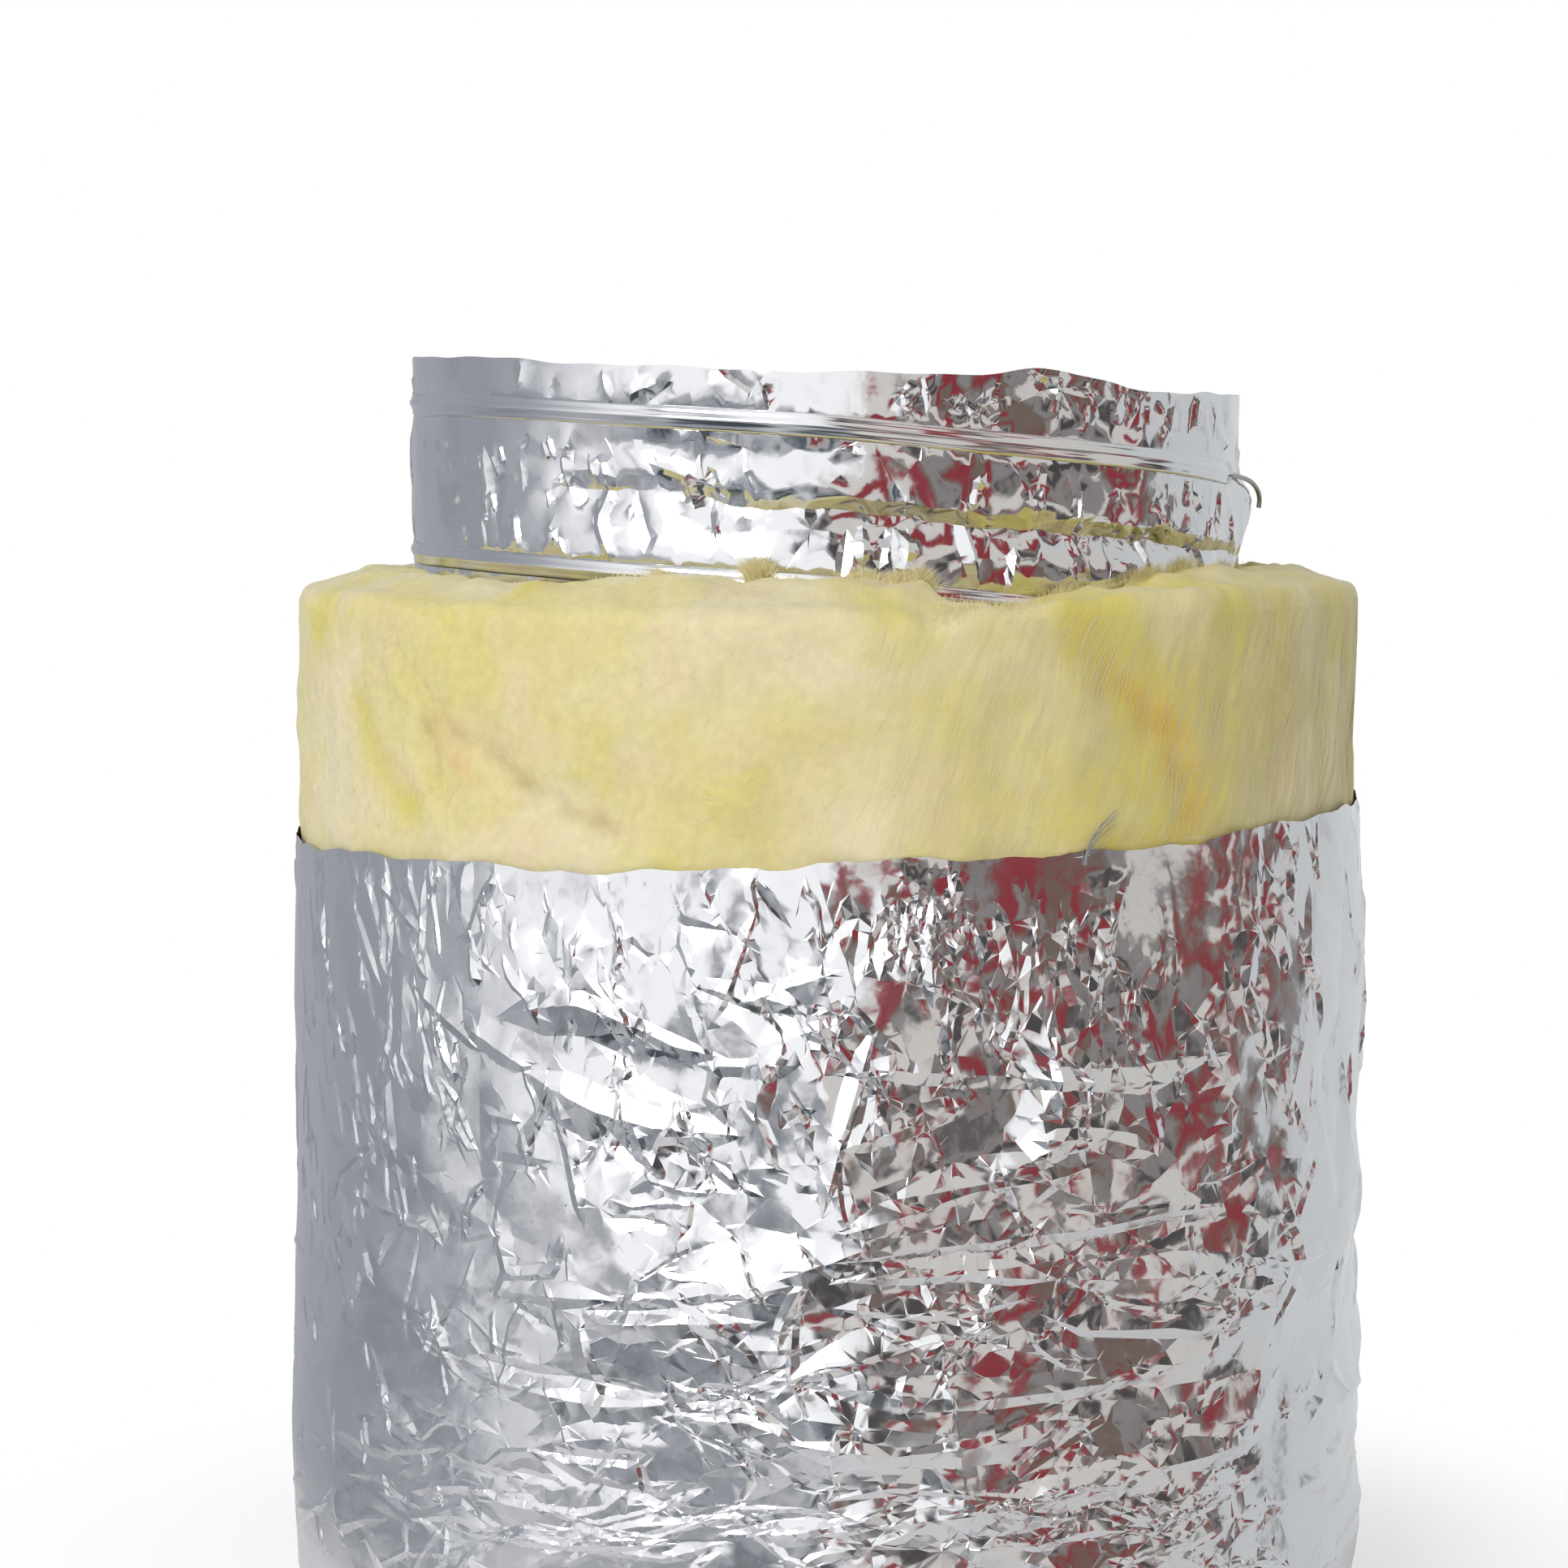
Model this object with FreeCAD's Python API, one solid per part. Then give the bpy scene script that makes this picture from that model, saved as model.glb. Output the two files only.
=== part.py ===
import FreeCAD, Part
import math
import os

# A cut length of insulated flexible air duct, 8 inch nominal, standing on its lower end.
# Three layers, each stepped back from the one inside it: a foil core stiffened by a spring
# wire helix, a glass wool blanket wrapped round it, and a thin foil jacket drawn over both.
# Millimetres and degrees. Origin at the middle of the lower end, +Z up along the duct.
# Angles round the duct start at the front (-Y) and grow towards the right (+X).

# Film tube of the core. The walls of all films are thicker here than the real laminate.
bore_diameter = 203.0       # clear bore, a slip fit over an 8 inch collar
core_length = 316.0         # on the axis
core_cut_slope = 2.7        # the knife cut at the top falls this much towards +X
film_wall = 0.4
glue_line = 0.05

# Spring wire, a left-hand helix round the film tube
wire_diameter = 1.2         # across the corners of its four-sided section
wire_pitch = 36.0
first_turn_depth = 11.6     # from the core's cut edge down to the wire, at the front
end_margin = 0.6            # bare film past each end of the wire's tape

# Cover tape, the foil strip that bonds the wire to the tube and makes its raised rib
tape_width = 5.2
tape_wall = 0.4
tape_clearance = 0.1        # between the wire and the tape over it

# Sprung end of the wire, which has torn out of the tape at the right
tail_angle = 74.0           # where it leaves the helix
tail_run = 26.5             # from there on to the knee
tail_stand_off = 2.0        # beyond the straight line that the wire would take
tail_drop = 6.0
knee_heading = (0.6, 0.25, -0.75)   # along the helix, outward, up
tip_run = 1.1               # from the knee to the tip
tip_drop = 4.675
tip_heading = (0.0, -0.35, -1.0)
tear_length = 24.0          # bare stretch of helix between the tape's torn ends

# Glass wool blanket, a batt bent round the core with a butt joint
wool_clearance = 0.35
wool_thickness = 27.0
core_bare = 53.0            # stretch of core left bare above the wool
wool_crown = 3.0            # the cut face rises this much towards the core
wool_edge_round = 5.0
joint_angle = -48.0
joint_gap = 1.0

# Jacket, a foil laminate sheet closed by a lap seam down the back
jacket_clearance = 0.4
jacket_wall = 0.4
wool_bare = 54.5            # stretch of wool left bare above the jacket, on the axis
jacket_cut_slope = -2.0     # its cut edge rises towards +X
seam_angle = 125.0
seam_lap = 14.0
seam_step = 4.0             # length of the joggle that lifts the lap
seam_clearance = 0.45

# Reinforcing yarn frayed out of the jacket's cut edge
yarn_angle = 26.0
yarn_width = 1.0
yarn_thickness = 0.14
yarn_lean = 37.0
yarn_length = 7.5
yarn_root_gap = 0.1         # from the cut edge

# Sizes that follow
bore_radius = bore_diameter / 2
film_radius = bore_radius + film_wall
wire_radius = wire_diameter / 2
tape_seat = film_radius + glue_line
helix_radius = tape_seat + wire_radius
tape_bore = helix_radius + wire_radius + tape_clearance
crest_radius = tape_bore + tape_wall
front_height = core_length - first_turn_depth
wool_height = core_length - core_bare
jacket_height = wool_height - wool_bare
wool_bore = crest_radius + wool_clearance
wool_radius = wool_bore + wool_thickness
jacket_bore = wool_radius + jacket_clearance
jacket_radius = jacket_bore + jacket_wall
lap_bore = jacket_radius + seam_clearance
reach = 2 * (lap_bore + jacket_wall)
tall = 3 * core_length

Z = FreeCAD.Vector(0, 0, 1)


def at(radius, angle, height):
    turn = math.radians(angle)
    return FreeCAD.Vector(radius * math.sin(turn), -radius * math.cos(turn), height)


def outward(angle):
    return at(1, angle, 0)


def wire_height(angle):
    return front_height - wire_pitch * angle / 360


def helix_direction(angle):
    fall = wire_pitch / (2 * math.pi * helix_radius)
    return (outward(angle + 90) - Z * fall).normalize()


def tangent_arc(start, corner, end):
    # The arc from start to end whose tangents meet at the corner
    middle = (start + end) / 2
    half = (end - start).Length / 2
    rise = corner - middle
    sagitta = half * math.tan(math.atan2(rise.Length, half) / 2)
    return Part.Arc(start, middle + rise * (sagitta / rise.Length), end).toShape()


def biarc(start, leaving, end, arriving):
    # Two arcs that meet smoothly, each with the same length of tangent
    chord = end - start
    both = leaving + arriving
    a = both.dot(both) - 4
    b = -2 * chord.dot(both)
    reach_along = (-b - math.sqrt(b * b - 4 * a * chord.dot(chord))) / (2 * a)
    corner = start + leaving * reach_along
    far_corner = end - arriving * reach_along
    join = (corner + far_corner) / 2
    return [tangent_arc(start, corner, join), tangent_arc(join, far_corner, end)]


def helix_edges(first, last):
    # Biarcs of at most a quarter turn
    count = math.ceil((last - first) / 90)
    step = (last - first) / count
    edges = []
    for i in range(count):
        a = first + i * step
        b = a + step
        start = at(helix_radius, a, wire_height(a))
        end = at(helix_radius, b, wire_height(b))
        edges += biarc(start, helix_direction(a), end, helix_direction(b))
    return edges


def closed_wire(points):
    return Part.makePolygon(points + points[:1])


def pipe(edges, section, upright):
    shell = Part.BRepOffsetAPI.MakePipeShell(Part.Wire(edges))
    if upright:
        shell.setBiNormalMode(Z)
    shell.add(section)
    shell.build()
    shell.makeSolid()
    return shell.shape()


def wire_solid(edges, angle):
    # A four-sided section square to the radius, swept along the path
    start = at(helix_radius, angle, wire_height(angle))
    side = outward(angle) * wire_radius
    up = outward(angle).cross(helix_direction(angle)) * wire_radius
    return pipe(edges, closed_wire([start + side, start + up, start - side, start - up]), False)


def least_gap(edges, samples=12):
    # From the wire to itself, between points at least half a turn apart
    points = []
    for edge in edges:
        points += edge.discretize(samples)[:-1]
    apart = math.pi * helix_radius
    spacing = sum(edge.Length for edge in edges) / len(points)
    skip = int(apart / spacing)
    gaps = [
        (points[i] - points[j]).Length
        for i in range(len(points) - skip)
        for j in range(i + skip, min(len(points), i + 3 * skip))
    ]
    return min(gaps) - wire_diameter


def below_cut(shape, height, slope):
    # What lies under a plane through the axis at this height, tilted about Y
    block = Part.makeBox(reach * 2, reach * 2, tall, FreeCAD.Vector(-reach, -reach, height - tall))
    block.rotate(FreeCAD.Vector(0, 0, height), FreeCAD.Vector(0, 1, 0), slope)
    return shape.common(block)


def tube(inner, outer, height):
    return Part.makeCylinder(outer, height).cut(Part.makeCylinder(inner, height))


def rim_height(angle):
    across = bore_radius * math.sin(math.radians(angle))
    return core_length - across * math.tan(math.radians(core_cut_slope))


def upper_end():
    # The first angle, from the tail back, at which the tape would reach the cut edge
    angle = tail_angle
    while wire_height(angle) + tape_width / 2 + end_margin < rim_height(angle):
        angle -= 1
    return angle + 1


def torn_end():
    return tail_angle + math.degrees(tear_length / helix_radius)


def lower_end():
    return (front_height - tape_width / 2 - end_margin) * 360 / wire_pitch


# Film tube, the smooth wall that the air runs along
def make_film_tube():
    return below_cut(tube(bore_radius, film_radius, core_length + reach), core_length, core_cut_slope)


# Wire from the torn end of the tape down to the base, one unbroken length
def make_wire_helix():
    edges = helix_edges(torn_end(), lower_end())
    print("wire helix length", round(sum(edge.Length for edge in edges), 1))
    print("wire helix least gap to itself", round(least_gap(edges), 2))
    return wire_solid(edges, torn_end())


# Upper end of the wire: it starts near the cut edge at the back and springs out at the right
def make_wire_end_turn():
    start = at(helix_radius, tail_angle, wire_height(tail_angle))
    ahead = helix_direction(tail_angle)

    def along(run, out, up):
        return ahead * run + outward(tail_angle) * out + Z * up

    knee = start + along(tail_run, tail_stand_off, -tail_drop)
    tip = knee + along(tip_run, 0, -tip_drop)
    at_knee = along(*knee_heading).normalize()
    at_tip = along(*tip_heading).normalize()
    edges = helix_edges(upper_end(), tail_angle)
    edges += biarc(start, ahead, knee, at_knee) + biarc(knee, at_knee, tip, at_tip)
    print("wire end turn least gap to itself", round(least_gap(edges), 2))
    return wire_solid(edges, upper_end())


# Cover tape, an inverted V in section with its feet feathered down on the film
def make_tape(first, last):
    foot = tape_width / 2
    outline = [(tape_seat, foot), (crest_radius, 0), (tape_seat, -foot), (tape_bore, 0)]
    section = closed_wire([at(r, first, wire_height(first) + z) for r, z in outline])
    return pipe(helix_edges(first, last), section, True)


# Glass wool, its cut face crowned and its edge eased, with the butt joint down its length
def make_wool():
    ease = wool_edge_round * (1 - math.sqrt(0.5))
    outline = [
        (wool_bore, 0),
        (wool_bore, wool_height + wool_crown),
        (wool_radius - wool_edge_round, wool_height),
        (wool_radius - ease, wool_height - ease),
        (wool_radius, wool_height - wool_edge_round),
        (wool_radius, 0),
    ]
    section = Part.Face(closed_wire([FreeCAD.Vector(r, 0, z) for r, z in outline]))
    blanket = section.revolve(FreeCAD.Vector(0, 0, 0), Z, 360)
    corner = FreeCAD.Vector(-joint_gap / 2, -wool_radius - 1, -1)
    joint = Part.makeBox(joint_gap, wool_radius, tall, corner)
    joint.rotate(FreeCAD.Vector(0, 0, 0), Z, joint_angle)
    return blanket.cut(joint)


def ring_arc(radius, first, last):
    middle = (first + last) / 2
    return Part.Arc(at(radius, first, 0), at(radius, middle, 0), at(radius, last, 0)).toShape()


# Jacket: one sheet bent into a tube, its outer edge stepped up to lap over its inner edge
def make_jacket():
    step = math.degrees(seam_step / jacket_radius)
    lap = math.degrees(seam_lap / jacket_radius)
    first = seam_angle
    half = first + 180
    turn = first + 360 - step
    last = first + 360 + lap
    outline = [
        ring_arc(jacket_bore, first, half),
        ring_arc(jacket_bore, half, turn),
        Part.makeLine(at(jacket_bore, turn, 0), at(lap_bore, turn + step, 0)),
        ring_arc(lap_bore, turn + step, last),
        Part.makeLine(at(lap_bore, last, 0), at(lap_bore + jacket_wall, last, 0)),
        ring_arc(lap_bore + jacket_wall, turn + step, last),
        Part.makeLine(at(lap_bore + jacket_wall, turn + step, 0), at(jacket_radius, turn, 0)),
        ring_arc(jacket_radius, half, turn),
        ring_arc(jacket_radius, first, half),
        Part.makeLine(at(jacket_radius, first, 0), at(jacket_bore, first, 0)),
    ]
    sheet = Part.Face(Part.Wire(Part.__sortEdges__(outline))).extrude(Z * (jacket_height + reach))
    return below_cut(sheet, jacket_height, jacket_cut_slope)


# Yarn: a flat thread that leaves the middle of the jacket's cut edge and leans to the right
def make_yarn():
    seat = jacket_bore + (jacket_wall - yarn_thickness) / 2
    across = seat * math.sin(math.radians(yarn_angle))
    edge_height = jacket_height - across * math.tan(math.radians(jacket_cut_slope))
    start = FreeCAD.Vector(-yarn_width / 2, -yarn_length, -yarn_length)
    strip = Part.makeBox(yarn_width, 2 * yarn_length, 2 * yarn_length, start)
    strip.rotate(FreeCAD.Vector(0, 0, 0), FreeCAD.Vector(0, 1, 0), yarn_lean)
    strip.rotate(FreeCAD.Vector(0, 0, 0), Z, yarn_angle)
    strip.translate(at(seat, yarn_angle, edge_height))
    strip = strip.cut(below_cut(strip, jacket_height + yarn_root_gap, jacket_cut_slope))
    return tube(seat, seat + yarn_thickness, tall).common(strip)


tape_stops = tail_angle - math.degrees(tape_width / helix_radius)
pieces = {
    "film_tube": make_film_tube(),
    "wire_helix": make_wire_helix(),
    "wire_end_turn": make_wire_end_turn(),
    "wire_tape": make_tape(torn_end(), lower_end()),
    "end_turn_tape": make_tape(upper_end(), tape_stops),
    "glass_wool_blanket": make_wool(),
    "foil_jacket": make_jacket(),
    "scrim_yarn": make_yarn(),
}

os.makedirs("parts", exist_ok=True)
for name, shape in pieces.items():
    shape.exportStep(f"parts/{name}.step")
    print(name, "solids", len(shape.Solids), "valid", shape.isValid(), "volume", round(shape.Volume))
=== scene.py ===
import bpy, math
from functools import partial
import numpy as np
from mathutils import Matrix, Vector, geometry, noise
from mathutils.bvhtree import BVHTree


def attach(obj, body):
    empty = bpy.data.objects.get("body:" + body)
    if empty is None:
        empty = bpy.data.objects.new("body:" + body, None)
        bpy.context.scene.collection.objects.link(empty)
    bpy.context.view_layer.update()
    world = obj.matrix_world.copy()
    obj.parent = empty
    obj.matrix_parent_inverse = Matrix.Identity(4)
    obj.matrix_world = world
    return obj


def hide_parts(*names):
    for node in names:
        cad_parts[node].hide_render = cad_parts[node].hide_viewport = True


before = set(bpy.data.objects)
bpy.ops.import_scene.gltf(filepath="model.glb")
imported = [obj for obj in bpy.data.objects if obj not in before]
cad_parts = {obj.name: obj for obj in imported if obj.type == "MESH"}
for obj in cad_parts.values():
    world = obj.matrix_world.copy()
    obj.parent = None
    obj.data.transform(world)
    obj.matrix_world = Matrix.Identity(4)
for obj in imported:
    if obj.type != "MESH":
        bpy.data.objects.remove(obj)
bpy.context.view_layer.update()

# ---- Core film ----
# The inner duct is a laminate, thin plies of polyester film and aluminium foil glued into one wall
# round the wire coil. It is drawn tight over each turn of wire and crumples into small pinched folds
# in the bays between two turns. Its top edge is a plain knife cut.


def linear(code):
    # A colour written as an sRGB hex value, as the linear colour that a shader socket takes
    parts = [int(code[i:i + 2], 16) / 255 for i in (0, 2, 4)]
    return [c / 12.92 if c <= 0.04045 else ((c + 0.055) / 1.055) ** 2.4 for c in parts] + [1.0]


def add_node(tree, kind, links=None, **settings):
    # One shader node, its settings, and what feeds its sockets: a value, one output of a node, or a
    # node, whose first output is then meant
    node = tree.nodes.new("ShaderNode" + kind)
    for key, value in settings.items():
        setattr(node, key, value)
    for socket, source in (links or {}).items():
        if isinstance(source, bpy.types.Node):
            source = source.outputs[0]
        if isinstance(source, bpy.types.NodeSocket):
            tree.links.new(source, node.inputs[socket])
        else:
            node.inputs[socket].default_value = source
    return node


def new_material(name):
    # A material, and the function that adds nodes to it
    material = bpy.data.materials.new(name)
    material.use_nodes = True
    material.node_tree.nodes.clear()
    return material, partial(add_node, material.node_tree)


def select_only(piece):
    bpy.ops.object.select_all(action="DESELECT")
    piece.select_set(True)
    bpy.context.view_layer.objects.active = piece


def piece_from(name, points, edges=(), faces=()):
    mesh = bpy.data.meshes.new(name)
    mesh.from_pydata([tuple(p) for p in points], edges, faces)
    piece = bpy.data.objects.new(name, mesh)
    bpy.context.scene.collection.objects.link(piece)
    select_only(piece)
    return piece


def ring(count):
    # Edges that join so many points in a closed line
    return [(i, (i + 1) % count) for i in range(count)]


def mesh_points(piece):
    flat = np.empty(len(piece.data.vertices) * 3)
    piece.data.vertices.foreach_get("co", flat)
    return flat.reshape(-1, 3)


def move_points(piece, points):
    piece.data.vertices.foreach_set("co", points.ravel())
    piece.data.update()


def face_outwards(merge=0.0, hole_sides=0):
    # The selected piece's faces turned outwards, after doubles are merged and holes filled, if asked
    bpy.ops.object.mode_set(mode="EDIT")
    bpy.ops.mesh.select_all(action="SELECT")
    if merge:
        bpy.ops.mesh.remove_doubles(threshold=merge)
    if hole_sides:
        bpy.ops.mesh.fill_holes(sides=hole_sides)
    bpy.ops.mesh.normals_make_consistent(inside=False)
    bpy.ops.object.mode_set(mode="OBJECT")


def soft_noise(points, size, seed):
    # Smooth noise in about -1 to 1, with swells of the given size, at points in millimetres
    shift = Vector((seed * 7.3, seed * 3.1, seed * 1.7))
    return np.array([noise.noise(Vector(p) / size + shift) for p in points])


class Crease:
    # A pinched fold in the flat sheet, in millimetres: its points, how far its flanks reach, and how
    # far its crest stands up or down. One flank is wider than the other, and both are ragged.
    widest = 1.3  # the widest place of a ragged flank, as a share of its reach

    def __init__(self, rng, points, reach, lift):
        self.points = np.array(points, float)
        self.lift = lift
        skew = rng.uniform(-0.45, 0.45)
        self.reaches = reach * (1 + skew), reach * (1 - skew)
        self.reach = max(self.reaches) * self.widest
        self.knots = np.linspace(-1, 1, 6)
        self.widths = np.concatenate([[0], rng.uniform(0.65, self.widest, 4), [0]])

    def line(self):
        legs = np.hypot(*np.diff(self.points, axis=0).T)
        return legs, np.concatenate([[0], np.cumsum(legs)])

    def rows(self, step):
        # The crest, and the two feet drawn in towards its ends, as rows of points
        _, run = self.line()
        count = max(6, 2 * int(run[-1] / step / 2) + 2)
        s = np.linspace(0, run[-1], count)
        crest = np.stack([np.interp(s, run, self.points[:, 0]), np.interp(s, run, self.points[:, 1])], 1)
        along = np.gradient(crest, axis=0)
        along /= np.maximum(np.hypot(*along.T), 1e-9)[:, None]
        aside = np.stack([-along[:, 1], along[:, 0]], 1)
        width = np.interp(np.linspace(-1, 1, count), self.knots, self.widths)[:, None]
        left, right = self.reaches
        return [crest, (crest + aside * width * left)[1:-1], (crest - aside * width * right)[1:-1]]

    def raise_points(self, q, h):
        low = self.points.min(0) - self.reach
        high = self.points.max(0) + self.reach
        near = np.where(((q > low) & (q < high)).all(1))[0]
        if not len(near):
            return
        legs, run = self.line()
        best = np.full(len(near), 1e9)
        where = np.zeros(len(near))
        left_of = np.zeros(len(near), bool)
        for i, (a, b) in enumerate(zip(self.points[:-1], self.points[1:])):
            d = b - a
            p = q[near] - a
            t = np.clip((p @ d) / (d @ d), 0, 1)
            away = np.hypot(*(p - t[:, None] * d).T)
            closer = away < best
            best[closer] = away[closer]
            where[closer] = run[i] + t[closer] * legs[i]
            left_of[closer] = (d[0] * p[:, 1] - d[1] * p[:, 0])[closer] > 0
        width = np.interp(2 * where / run[-1] - 1, self.knots, self.widths)
        foot = np.where(left_of, *self.reaches) * width
        h[near] += self.lift * np.minimum(width, 1) * np.maximum(0, 1 - best / np.maximum(foot, 1e-6))


def scatter(rng, width, height, gap_at, tries):
    # Random points no nearer to each other than the gap where they lie
    cell = 3.0
    taken = {}
    kept = []
    candidates = rng.random((tries, 2)) * [width, height]
    for (u, v), gap in zip(candidates.tolist(), gap_at(candidates).tolist()):
        i, j = int(u / cell), int(v / cell)
        reach = int(gap / cell) + 1
        near = [p for x in range(i - reach, i + reach + 1) for y in range(j - reach, j + reach + 1)
                for p in taken.get((x, y), ())]
        if all((a - u) ** 2 + (b - v) ** 2 >= gap * gap for a, b in near):
            taken.setdefault((i, j), []).append((u, v))
            kept.append((u, v))
    return np.array(kept)


class FacetNet:
    # Flat facets that cover the whole sheet: corners at random heights, joined by straight fold
    # lines. gap_at(u, v) is a facet's width there, flat_at(v) how much wider than tall it is, and
    # lift_at(q) how far its corners stand up or down.
    beyond = 40  # how far the net reaches past the sheet, in millimetres
    tries = 16000

    def __init__(self, rng, width, height, gap_at, flat_at, lift_at):
        v = np.linspace(-self.beyond, height + self.beyond, 400)
        climb = np.concatenate([[0], np.cumsum(flat_at(v)[:-1] * np.diff(v))])
        spread = scatter(rng, width + 2 * self.beyond, climb[-1],
                         lambda q: gap_at(q[:, 0] - self.beyond, np.interp(q[:, 1], climb, v)), self.tries)
        # a row of corners beyond the foot and the top closes the net
        edge = [(x, y) for x in np.arange(-60, width + 60, 20) for y in (-15, climb[-1] + 15)]
        spread = np.concatenate([spread - [self.beyond, 0], edge])
        _, _, self.triangles, _, _, _ = geometry.delaunay_2d_cdt([Vector(p) for p in spread], [], [], 0, 1e-6)
        levels = np.interp(spread[:, 1], climb, v, left=-60, right=height + 60)
        self.corners = np.column_stack([spread[:, 0], levels])
        self.lifts = rng.normal(0, 1, len(spread)) * lift_at(self.corners)

    def folds(self, step):
        # Each fold line as a row of points
        pairs = {tuple(sorted((t[i], t[i - 1]))) for t in self.triangles for i in range(3)}
        rows = []
        for a, b in sorted(pairs):
            p, q = self.corners[a], self.corners[b]
            t = np.linspace(0, 1, max(2, round(np.hypot(*(q - p)) / step) + 1))[:, None]
            rows.append(p + t * (q - p))
        return rows

    def heights(self, q):
        points = [(*c, h) for c, h in zip(self.corners, self.lifts)]
        tree = BVHTree.FromPolygons(points, self.triangles)
        down = Vector((0, 0, -1))
        hits = [tree.ray_cast(Vector((u, v, 50)), down)[0] for u, v in q]
        return np.array([p[2] if p is not None else 0.0 for p in hits])


def creased_sheet(name, outline, nets, creases, gap_at, rough_at, seed, rows=()):
    # A flat sheet in millimetres with every fold line along its mesh edges. gap_at(q) is how far
    # apart the points between the folds lie, and rough_at(q) how uneven they are. Returns the piece,
    # with x and y in the sheet and z for its lift.
    margin, fold_step, crease_step = 0.7, 5.0, 2.6
    rng = np.random.default_rng(seed)
    outline = np.array(outline, float)
    width, height = outline.max(0)
    top = outline[np.argsort(outline[:, 0])]
    top = top[top[:, 1] > height * 0.5]

    def inside(q):
        roof = np.interp(q[:, 0], top[:, 0], top[:, 1])
        across = (q[:, 0] > margin) & (q[:, 0] < width - margin)
        return across & (q[:, 1] > margin) & (q[:, 1] < roof - margin)

    points = [outline]
    count = len(outline)
    edges = ring(count)
    fold_rows = [row for net in nets for row in net.folds(fold_step)] + list(rows)
    fold_rows += [row for crease in creases for row in crease.rows(crease_step)]
    for row in fold_rows:
        good = inside(row)
        points.append(row)
        edges += [(count + i, count + i + 1) for i in range(len(row) - 1) if good[i] and good[i + 1]]
        count += len(row)
    points.append(scatter(rng, width, height, gap_at, 70000))
    q = np.concatenate(points)
    keep = inside(q)
    keep[:len(outline)] = True
    place = np.cumsum(keep) - 1
    edges = [(int(place[a]), int(place[b])) for a, b in edges if keep[a] and keep[b]]
    flat, _, faces, _, _, _ = geometry.delaunay_2d_cdt([Vector(p) for p in q[keep]], edges, [], 1, 0.25)
    flat = np.array([tuple(p) for p in flat])
    lift = sum(net.heights(flat) for net in nets) + rng.normal(0, 1, len(flat)) * rough_at(flat)
    for crease in creases:
        crease.raise_points(flat, lift)
    return piece_from(name, np.column_stack([flat, lift]), faces=faces)


def placed_creases(rng, u_at, folds):
    # Creases from rows of their reach, their lift, and the angle and height of each of their points.
    # u_at(angle) is the distance along the sheet.
    return [Crease(rng, [(u_at(a), z) for a, z in spots], reach, lift) for reach, lift, *spots in folds]


core_bore = 203.0
film_radius = 101.9      # its outer face
film_long = 2 * math.pi * film_radius
film_cut = 316.0         # height of the cut edge at the front
film_slope = math.tan(math.radians(2.7))
wire_pitch = 36.0
wire_fall = wire_pitch / 360  # millimetres a degree towards the right: the coil is left-handed
wire_front = 304.4       # height of the top turn at the front
wool_hides = 225.0       # the core is seen only above this height, so it is finer there
film_rng = np.random.default_rng(3)


def film_u(angle):
    return np.radians(angle + 180) * film_radius


def film_angle(u):
    return np.degrees(u / film_radius) - 180


def film_top(u):
    # The cut falls by 2.7 degrees to the right, wavers a little, and peaks right of the front
    a = np.radians(film_angle(u))
    fade = np.clip(np.minimum(u, film_long - u) / 30, 0, 1)
    fade = fade * np.interp(film_angle(u), [-100, -70, -35], [0.5, 0.35, 1])
    waver = 0.4 * np.sin(5 * a + 0.5) + 0.3 * np.sin(13 * a) + 0.2 * np.sin(31 * a)
    peak = 3.1 * np.exp(-((film_angle(u) - 28) / 9) ** 2)
    return film_cut - core_bore / 2 * np.sin(a) * film_slope + fade * waver + peak


def wire_sag(angle, z):
    # How far the top turns hang below an even coil: least at the front left, most at the right
    angle = (np.asarray(angle) + 180) % 360 - 180
    side = np.interp(angle, [-180, -120, -84, -74, -59, -40, 0, 16, 29, 42, 55, 66, 84, 120, 180],
                     [0.5, 2.2, 3.2, 2.8, 1.3, 0.4, 0.4, 1.7, 2.5, 3.2, 3.9, 4.6, 5.0, 3.5, 0.5])
    return side * np.interp(z, [wool_hides, 262], [0, 1])


def wire_level(angle, v):
    # The top turn's height at an angle, with the sag that it has at the height v
    return wire_front - wire_fall * angle - wire_sag(angle, v)


def below_wire(angle, v):
    # How far a place is below the next turn above it
    return (wire_level(angle, v) - v) % wire_pitch


def valley_place(u, turn):
    # How far below the wire the drawn-in valley runs, in each bay
    spots = np.column_stack([u, 60.0 * turn + 0 * u, 0 * u])
    rise = 2.3 * np.exp(-((film_angle(u) + 27) / 9) ** 2)
    return 18.8 - rise + 1.3 * soft_noise(spots, 13, 6) + 0.9 * soft_noise(spots, 5, 7)


def film_crumple(angle):
    # How crumpled the bays are: most at the right, least at the far left
    return np.interp(angle, [-180, -110, -75, -50, -40, 0, 10, 62, 80, 120, 180],
                     [0.6, 0.4, 0.22, 0.3, 0.65, 0.6, 1.0, 1.0, 0.55, 0.6, 0.6])


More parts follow.
